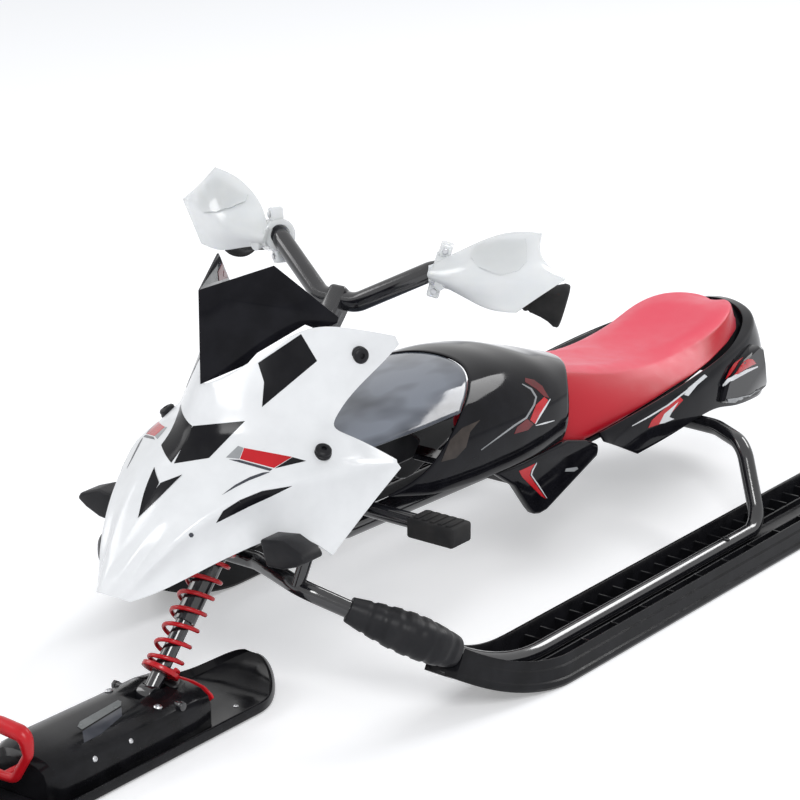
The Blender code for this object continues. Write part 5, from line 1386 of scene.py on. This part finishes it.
def fork_spring():
    """Coil with closed ends, set between its two seats."""
    low = 0.0015 + GAP + COIL_WIRE_R
    high = UPPER_SEAT_AT - GAP - COIL_WIRE_R
    ends = 0.75
    flat_rise = (2.0 * COIL_WIRE_R + 0.0006) * ends
    pitch = (high - low - 2.0 * flat_rise) / (COIL_TURNS - 2.0 * ends)
    turn = Matrix.Translation(FOOT) @ AXIS_TURN
    total = int(COIL_TURNS * 28)
    path = []
    for index in range(total + 1):
        turns = COIL_TURNS * index / total
        if turns < ends:
            height = low + flat_rise * turns / ends
        elif turns > COIL_TURNS - ends:
            height = high - flat_rise * (COIL_TURNS - turns) / ends
        else:
            height = low + flat_rise + pitch * (turns - ends)
        angle = 2.0 * math.pi * turns
        path.append(turn @ Vector((COIL_MEAN_R * math.cos(angle), COIL_MEAN_R * math.sin(angle), height)))
    item = tube("fork_spring_shown", path, COIL_WIRE_R, 6)
    item.data.materials.append(look("red_paint"))
    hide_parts("fork_spring")
    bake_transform(item)


# Front ski
FRONT_SKI_HALF = 0.057
FRONT_SKI_TOP = 0.0055
HEEL_CURL_Y = -0.258
HEEL_CURL_R = 0.062
TIP_CURL_Y = -0.590
TIP_CURL_R = 0.125
HEEL_END_Y = -0.2065
HEEL_ROUND_Y = -0.292
HEEL_ROUND = 0.086
TIP_ROUND_Y = -0.600


def ski_base(y):
    """Height of the ski's sole, and the sine of its slope."""
    if y > HEEL_CURL_Y:
        rise, radius, sign = y - HEEL_CURL_Y, HEEL_CURL_R, 1.0
    elif y < TIP_CURL_Y:
        rise, radius, sign = TIP_CURL_Y - y, TIP_CURL_R, -1.0
    else:
        return 0.0, 0.0
    return radius - math.sqrt(max(radius * radius - rise * rise, 0.0)), sign * rise / radius


def front_half(y):
    if y > HEEL_ROUND_Y:
        share = (y - HEEL_ROUND_Y) / HEEL_ROUND
        return FRONT_SKI_HALF * math.sqrt(max(1.0 - share ** 2.15, 0.0)) + 0.0020
    if y < TIP_ROUND_Y:
        share = (TIP_ROUND_Y - y) / (HALF_LENGTH + TIP_ROUND_Y)
        return FRONT_SKI_HALF * math.sqrt(max(1.0 - share ** 2.2, 0.0)) + 0.0030
    return FRONT_SKI_HALF


def front_station(y):
    height, sine = ski_base(y)
    cosine = math.sqrt(1.0 - sine * sine)
    half = min(front_half(y), FRONT_SKI_HALF)
    lip = min(0.006, half * 0.3)
    section = [(half - 0.0035, 0.0), (half, 0.0030), (half, 0.0125), (half - 0.35 * lip, 0.0130),
               (half - lip, FRONT_SKI_TOP + 0.0004), (0.30 * half, FRONT_SKI_TOP)]
    ring = section + [(-x, z) for x, z in reversed(section)]
    return [(x, y - z * sine, height + z * cosine) for x, z in ring]


def front_ski():
    heel = HEEL_END_Y - HEEL_ROUND_Y
    tip = HALF_LENGTH + TIP_CURL_Y
    rear = [HEEL_END_Y - heel * (1.0 - math.cos(step * math.pi / 48)) for step in range(25)]
    front = [TIP_CURL_Y - tip * math.sin(step * math.pi / 56) for step in range(29)]
    item = add_bevel(loft("front_ski_shown", [front_station(y) for y in rear + front]), 0.0009, 2, 25.0)
    return show(bake(item, 40.0), "front_ski", "ski_black")


def ski_pin():
    """Cross pin of the strut with low dark heads on the housing walls."""
    root = Vector((HOUSING_HALF - 0.0050, 0.0, 0.0))
    end = Vector((HOUSING_HALF - 0.0006, 0.0, 0.0))
    parts = [rod("pin_shaft", PIVOT - root, PIVOT + root, 0.0036),
             rod("pin_head", PIVOT + root, PIVOT + end, 0.0046, 32, 0.0006),
             rod("pin_nut", PIVOT - end, PIVOT - root, 0.0048, 6, 0.0006)]
    show(join("ski_pin_shown", parts), "front_ski", "black_paint")


def housing_section(y, half, top):
    low = FRONT_SKI_TOP + 0.0008
    points = [(half, low), (half, top - 0.016), (half - 0.003, top - 0.008), (half - 0.012, top - 0.0025),
              (0.35 * half, top)]
    return [(x, y, z) for x, z in points + [(-x, z) for x, z in reversed(points)]]


def reel_housing():
    stations = [
        # y, half width, top
        (HOUSING_REAR, 0.0385, 0.0400), (HOUSING_REAR - 0.006, 0.0430, 0.0455),
        (HOUSING_REAR - 0.030, 0.0450, 0.0480), (-0.400, HOUSING_HALF, 0.0480),
        (-0.500, HOUSING_HALF, 0.0500), (-0.532, 0.0430, 0.0500),
        (HOUSING_FRONT + 0.006, 0.0390, 0.0470), (HOUSING_FRONT, 0.0330, 0.0420)]
    item = loft("reel_housing_shown", [housing_section(*station) for station in stations])
    tools = [
        rod("pocket", on_axis(-0.0125), on_axis(0.060), 0.0265, 48),
        mesh_object("slot", box_bm((-0.0092, PIVOT.y - 0.0240, 0.0285), (0.0092, PIVOT.y + 0.0330, 0.0700))),
    ]
    item = bake(add_bevel(cut(item, tools), 0.0011, 3, 28.0), 32.0)
    return show(item, "front_ski", "ski_black")


def housing_trim():
    """Red strip along the upper edge of the housing's rear face."""
    outer = [(0.0395, 0.0315), (0.0370, 0.0350), (0.0280, 0.0405), (0.0140, 0.0430)]
    outer += [(-x, z) for x, z in reversed(outer)]
    inner = [(x * 0.87, z - 0.0050) for x, z in reversed(outer)]
    near = HOUSING_REAR + 0.0010
    far = HOUSING_REAR + 0.0040
    item = prism("housing_trim_shown", outer + inner, near, far, "y", 0.0006, 2)
    show(item, "front_ski", "red_plastic")


def tow_handle():
    """Stirrup handle with a thick grip on top."""
    corners = [(0.0, TOW_Y, TOW_PORT_Z), (0.0150, TOW_Y, TOW_PORT_Z + 0.001), (0.0330, TOW_Y, 0.0640),
               (0.0300, TOW_Y, 0.0830), (0.0, TOW_Y, 0.0850)]
    left = rounded_path(corners, 0.010, 8)
    path = left + across(reversed(left[1:-1]), -1.0)
    thin = 0.0046
    thicker = 0.0034
    radii = [thin + thicker * max(0.0, min(1.0, (point.z - 0.060) / 0.022)) for point in path]
    ring = tube("tow_ring", path, thin, 8, radii, True)
    stem = rod("tow_stem", (0.0, TOW_Y, TOW_PORT_Z), (0.0, HOUSING_FRONT + 0.022, TOW_PORT_Z), 0.0036)
    show(join("tow_handle_shown", [ring, stem], 50.0), "tow_handle", "red_plastic")


# Everything in order: stage first
bpy.context.scene.view_settings.view_transform = "Standard"
make_camera()
make_world()
make_floor()
for light in LIGHTS:
    area_light(*light)

# Kept CAD nodes get the look of their slot
for row in frame["record"]["subparts"]:
    node = frame["nodes"][row["node"]]
    node.data.materials.clear()
    node.data.materials.append(look(row["material_slot"]))

# Chassis
rear_hoop()
frame_tubes()
for label, side in SIDES:
    rear_ski(label, side)
    boot(label, side)
    foot_pad(label, side)
    front_peg(label, side)
BLOCKS = {label: tail_block(label, side) for label, side in SIDES}
seat_cushion()
TAIL = show(tail_surface("tail_cowl_shown", TAIL_SHELL), "chassis", "black_gloss")
NOSE = fairing()
for level in ("upper", "lower"):
    for label, side in SIDES:
        fairing_screw(level, label, side)
SCREEN = windscreen()
TANK = tank_shell("tank_cover_shown", TANK_FRONT, TANK_REAR, 10, 0.0, "black_gloss")
tank_shell("tank_front_panel_shown", PANEL_FRONT, PANEL_REAR, 7, PANEL_DEPTH, "grey_gloss")
PANELS = {label: side_panel(label, side) for label, side in SIDES}

# Steering, strut and front ski
handlebar()
stem_clamp()
for label, side in SIDES:
    grip(label, side)
    guard_clamp(label, side)
GUARDS = {label: hand_guard(label, side) for label, side in SIDES}
fork_leg()
spring_seats()
fork_spring()
SKI = front_ski()
HOUSING = reel_housing()
housing_trim()
ski_pin()
tow_handle()

# Patches on both sides: name, outline in pixels, look
PATCH_LIFT = 0.0003
PATCH_STEP = 3.0
NOSE_PATCHES = [
    ("headlight", [(193, 426), (245, 421), (209, 458), (174, 463.5)], "black_decal"),
    ("vent", [(301, 334), (317, 361), (262, 407), (264, 382), (258, 363)], "black_decal"),
    ("chevron", [(161, 483), (182, 475), (160, 497), (138, 518), (150, 497)], "black_decal"),
    ("marker", [(244, 448), (292, 457), (274, 468), (240, 459)], "red_decal"),
    ("marker_tip", [(292.5, 457.2), (306, 461), (275, 468.3)], "black_decal"),
    ("marker_end", [(238, 446), (243.4, 447.9), (239.4, 458.8), (226, 457.5)], "grey_decal"),
    ("marker_line", [(229, 459.5), (239.5, 460), (272.5, 469), (270, 471)], "slate_decal"),
    ("stroke", [(222, 495), (235, 485), (250, 477), (263, 472.5), (270, 472), (262, 475.5), (249, 480.5),
                (236, 487)], "slate_decal"),
    ("slat", [(216, 523), (223, 511), (240, 500), (262, 491), (292, 486), (272, 496), (250, 506), (234, 514)],
     "black_decal"),
    # Painted shade: a small dark patch where a hole shows its shaded inside
    ("nose_hole_shade", [(188.6, 535), (190, 532.8), (192.4, 532.8), (193.8, 535), (192.4, 537.2), (190, 537.2)],
     "slate_decal"),
]
TAIL_PATCHES = [
    ("fin_line", stroke([(632, 426), (650, 416), (668, 405), (690, 388), (705, 375)], 1.5), "white_decal"),
    ("fin_flash", [(684, 395), (688, 388), (704, 374.5), (707, 376.5), (697, 385), (688, 396)],
     "white_decal"),
    ("fin_red", [(648, 428), (652, 420), (664, 409), (680, 397), (683, 400), (672, 412), (660, 424)],
     "red_decal"),
    ("fin_arrow", [(659, 424), (664, 414), (678, 402), (671, 413), (669, 417), (674, 419), (664, 423)],
     "white_decal"),
]
BLOCK_PATCHES = [
    ("block_red_edge", [(726, 380), (729.5, 372), (734.5, 364.5), (743, 358.5), (739, 362.5), (735.5, 368.5),
                        (731, 375)], "red_decal"),
    ("block_red", [(738.5, 370), (742.5, 363.5), (748, 359.5), (752, 359), (755.5, 363.5), (751, 365.5),
                   (743, 370), (734, 375.5)], "red_decal"),
    ("block_line", stroke([(723, 386), (729, 380.5), (736, 376.5), (746, 371), (757, 366.5)], 3.0),
     "white_decal"),
    ("block_band", [(727, 399), (738, 397.5), (750, 394.5), (760, 391), (758, 396), (749, 399.5), (738, 402),
                    (728, 402)], "grey_decal"),
]
TANK_PATCHES = [
    ("tank_line", stroke([(522, 384), (531, 389), (536, 397), (534, 405), (526, 418), (515, 425),
                          (481, 450)], 1.8), "grey_decal"),
    ("tank_band", [(525, 378), (534, 380), (542, 386), (549, 398), (544, 396.5), (536, 389), (525, 382)],
     "dark_red_decal"),
    ("tank_red", [(530, 420), (536, 405), (544, 397), (548, 400), (540, 415), (535, 424)], "red_decal"),
    ("tank_low", [(517, 427), (527, 419), (533.5, 424), (528, 430), (514, 434)], "dark_red_decal"),
    ("tank_edge", stroke([(550, 399), (545, 407), (540, 415), (535, 424)], 1.6), "white_decal"),
    ("tank_foot", stroke([(535.5, 425.5), (545, 423), (554, 420.5)], 1.6), "white_decal"),
    # Painted reflection: a brownish patch on the tank stands for a reflection in its gloss, not a print
    ("tank_painted_reflection", [(441, 462), (450, 440), (462, 428), (480, 420), (470, 432), (466, 447), (456, 458)],
     "bronze_painted_reflection"),
]
PANEL_PATCHES = [
    ("panel_red", [(519, 471), (527, 467.5), (535, 463.5), (531, 470), (529.5, 475), (537, 486), (546, 499),
                   (541, 496), (531, 486), (522, 477)], "red_decal"),
    ("panel_line", stroke([(536.5, 463), (532.5, 470), (531, 475), (538, 485), (546.5, 498)], 1.1),
     "white_decal"),
    ("panel_mark", [(565, 471.5), (566, 468.5), (577, 467), (578, 469), (574, 471.5)], "grey_decal"),
]
SCREEN_PATCHES = [
    ("screen_red", [(222, 263), (230, 277), (219, 281), (218, 272)], "dark_red_decal"),
    ("screen_grey", [(202, 286), (218, 264), (217, 272), (218, 281)], "label_decal"),
]
HOUSING_PATCHES = [
    ("label_strip", [(77.5, 727), (80, 722), (118, 700.5), (121.5, 702), (121, 706), (82, 730)],
     "label_decal"),
    ("label_field", [(82.5, 731.5), (121.5, 707.5), (122, 716), (101, 734), (84, 743)], "slate_decal"),
    # Painted shade: a dark patch where the slot shows its shaded inside
    ("housing_slot", [(135.5, 697), (138.5, 690), (142, 691), (139.5, 698)], "slate_decal"),
]
GUARD_PATCHES = [
    ("guard_panel", [(481, 243.5), (505, 240), (526, 240), (527, 262), (518, 271), (500, 275), (480, 268),
                     (472, 259), (473, 250)], "white_clear"),
]
PATCHED = [
    # skin, body, rows, lift, step, sides
    (NOSE, "chassis", NOSE_PATCHES, PATCH_LIFT, PATCH_STEP, SIDES),
    (TAIL, "chassis", TAIL_PATCHES, PATCH_LIFT, PATCH_STEP, SIDES),
    (BLOCKS["left"], "chassis", BLOCK_PATCHES, 0.0010, PATCH_STEP, SIDES),
    (TANK, "chassis", TANK_PATCHES, PATCH_LIFT, PATCH_STEP, SIDES),
    (PANELS["left"], "chassis", PANEL_PATCHES, PATCH_LIFT, 2.0, SIDES),
    (SCREEN, "chassis", SCREEN_PATCHES, PATCH_LIFT, PATCH_STEP, SIDES),
    (HOUSING, "front_ski", HOUSING_PATCHES, PATCH_LIFT, PATCH_STEP, SIDES[:1]),
    (GUARDS["left"], "steering", GUARD_PATCHES, 0.0012, PATCH_STEP, SIDES),
]
for skin, body, rows, lift, step, sides in PATCHED:
    for name, pixels, look_name in rows:
        high = lift + (PATCH_LIFT if look_name == "white_decal" else 0.0)
        patch(name, pixels, skin, body, look_name, high, step, sides)

# Small screws on the front ski and its housing
SCREWS = [
    # name, pixel, skin, radius
    ("housing_screw_top", (158, 707), HOUSING, 0.0042),
    ("housing_screw_mid", (131, 741), HOUSING, 0.0026),
    ("housing_screw_low", (95, 759), HOUSING, 0.0030),
    ("ski_screw", (236, 706), SKI, 0.0026),
]
for name, pixel, skin, radius in SCREWS:
    screws(name, pixel, skin, radius, "front_ski", "zinc")
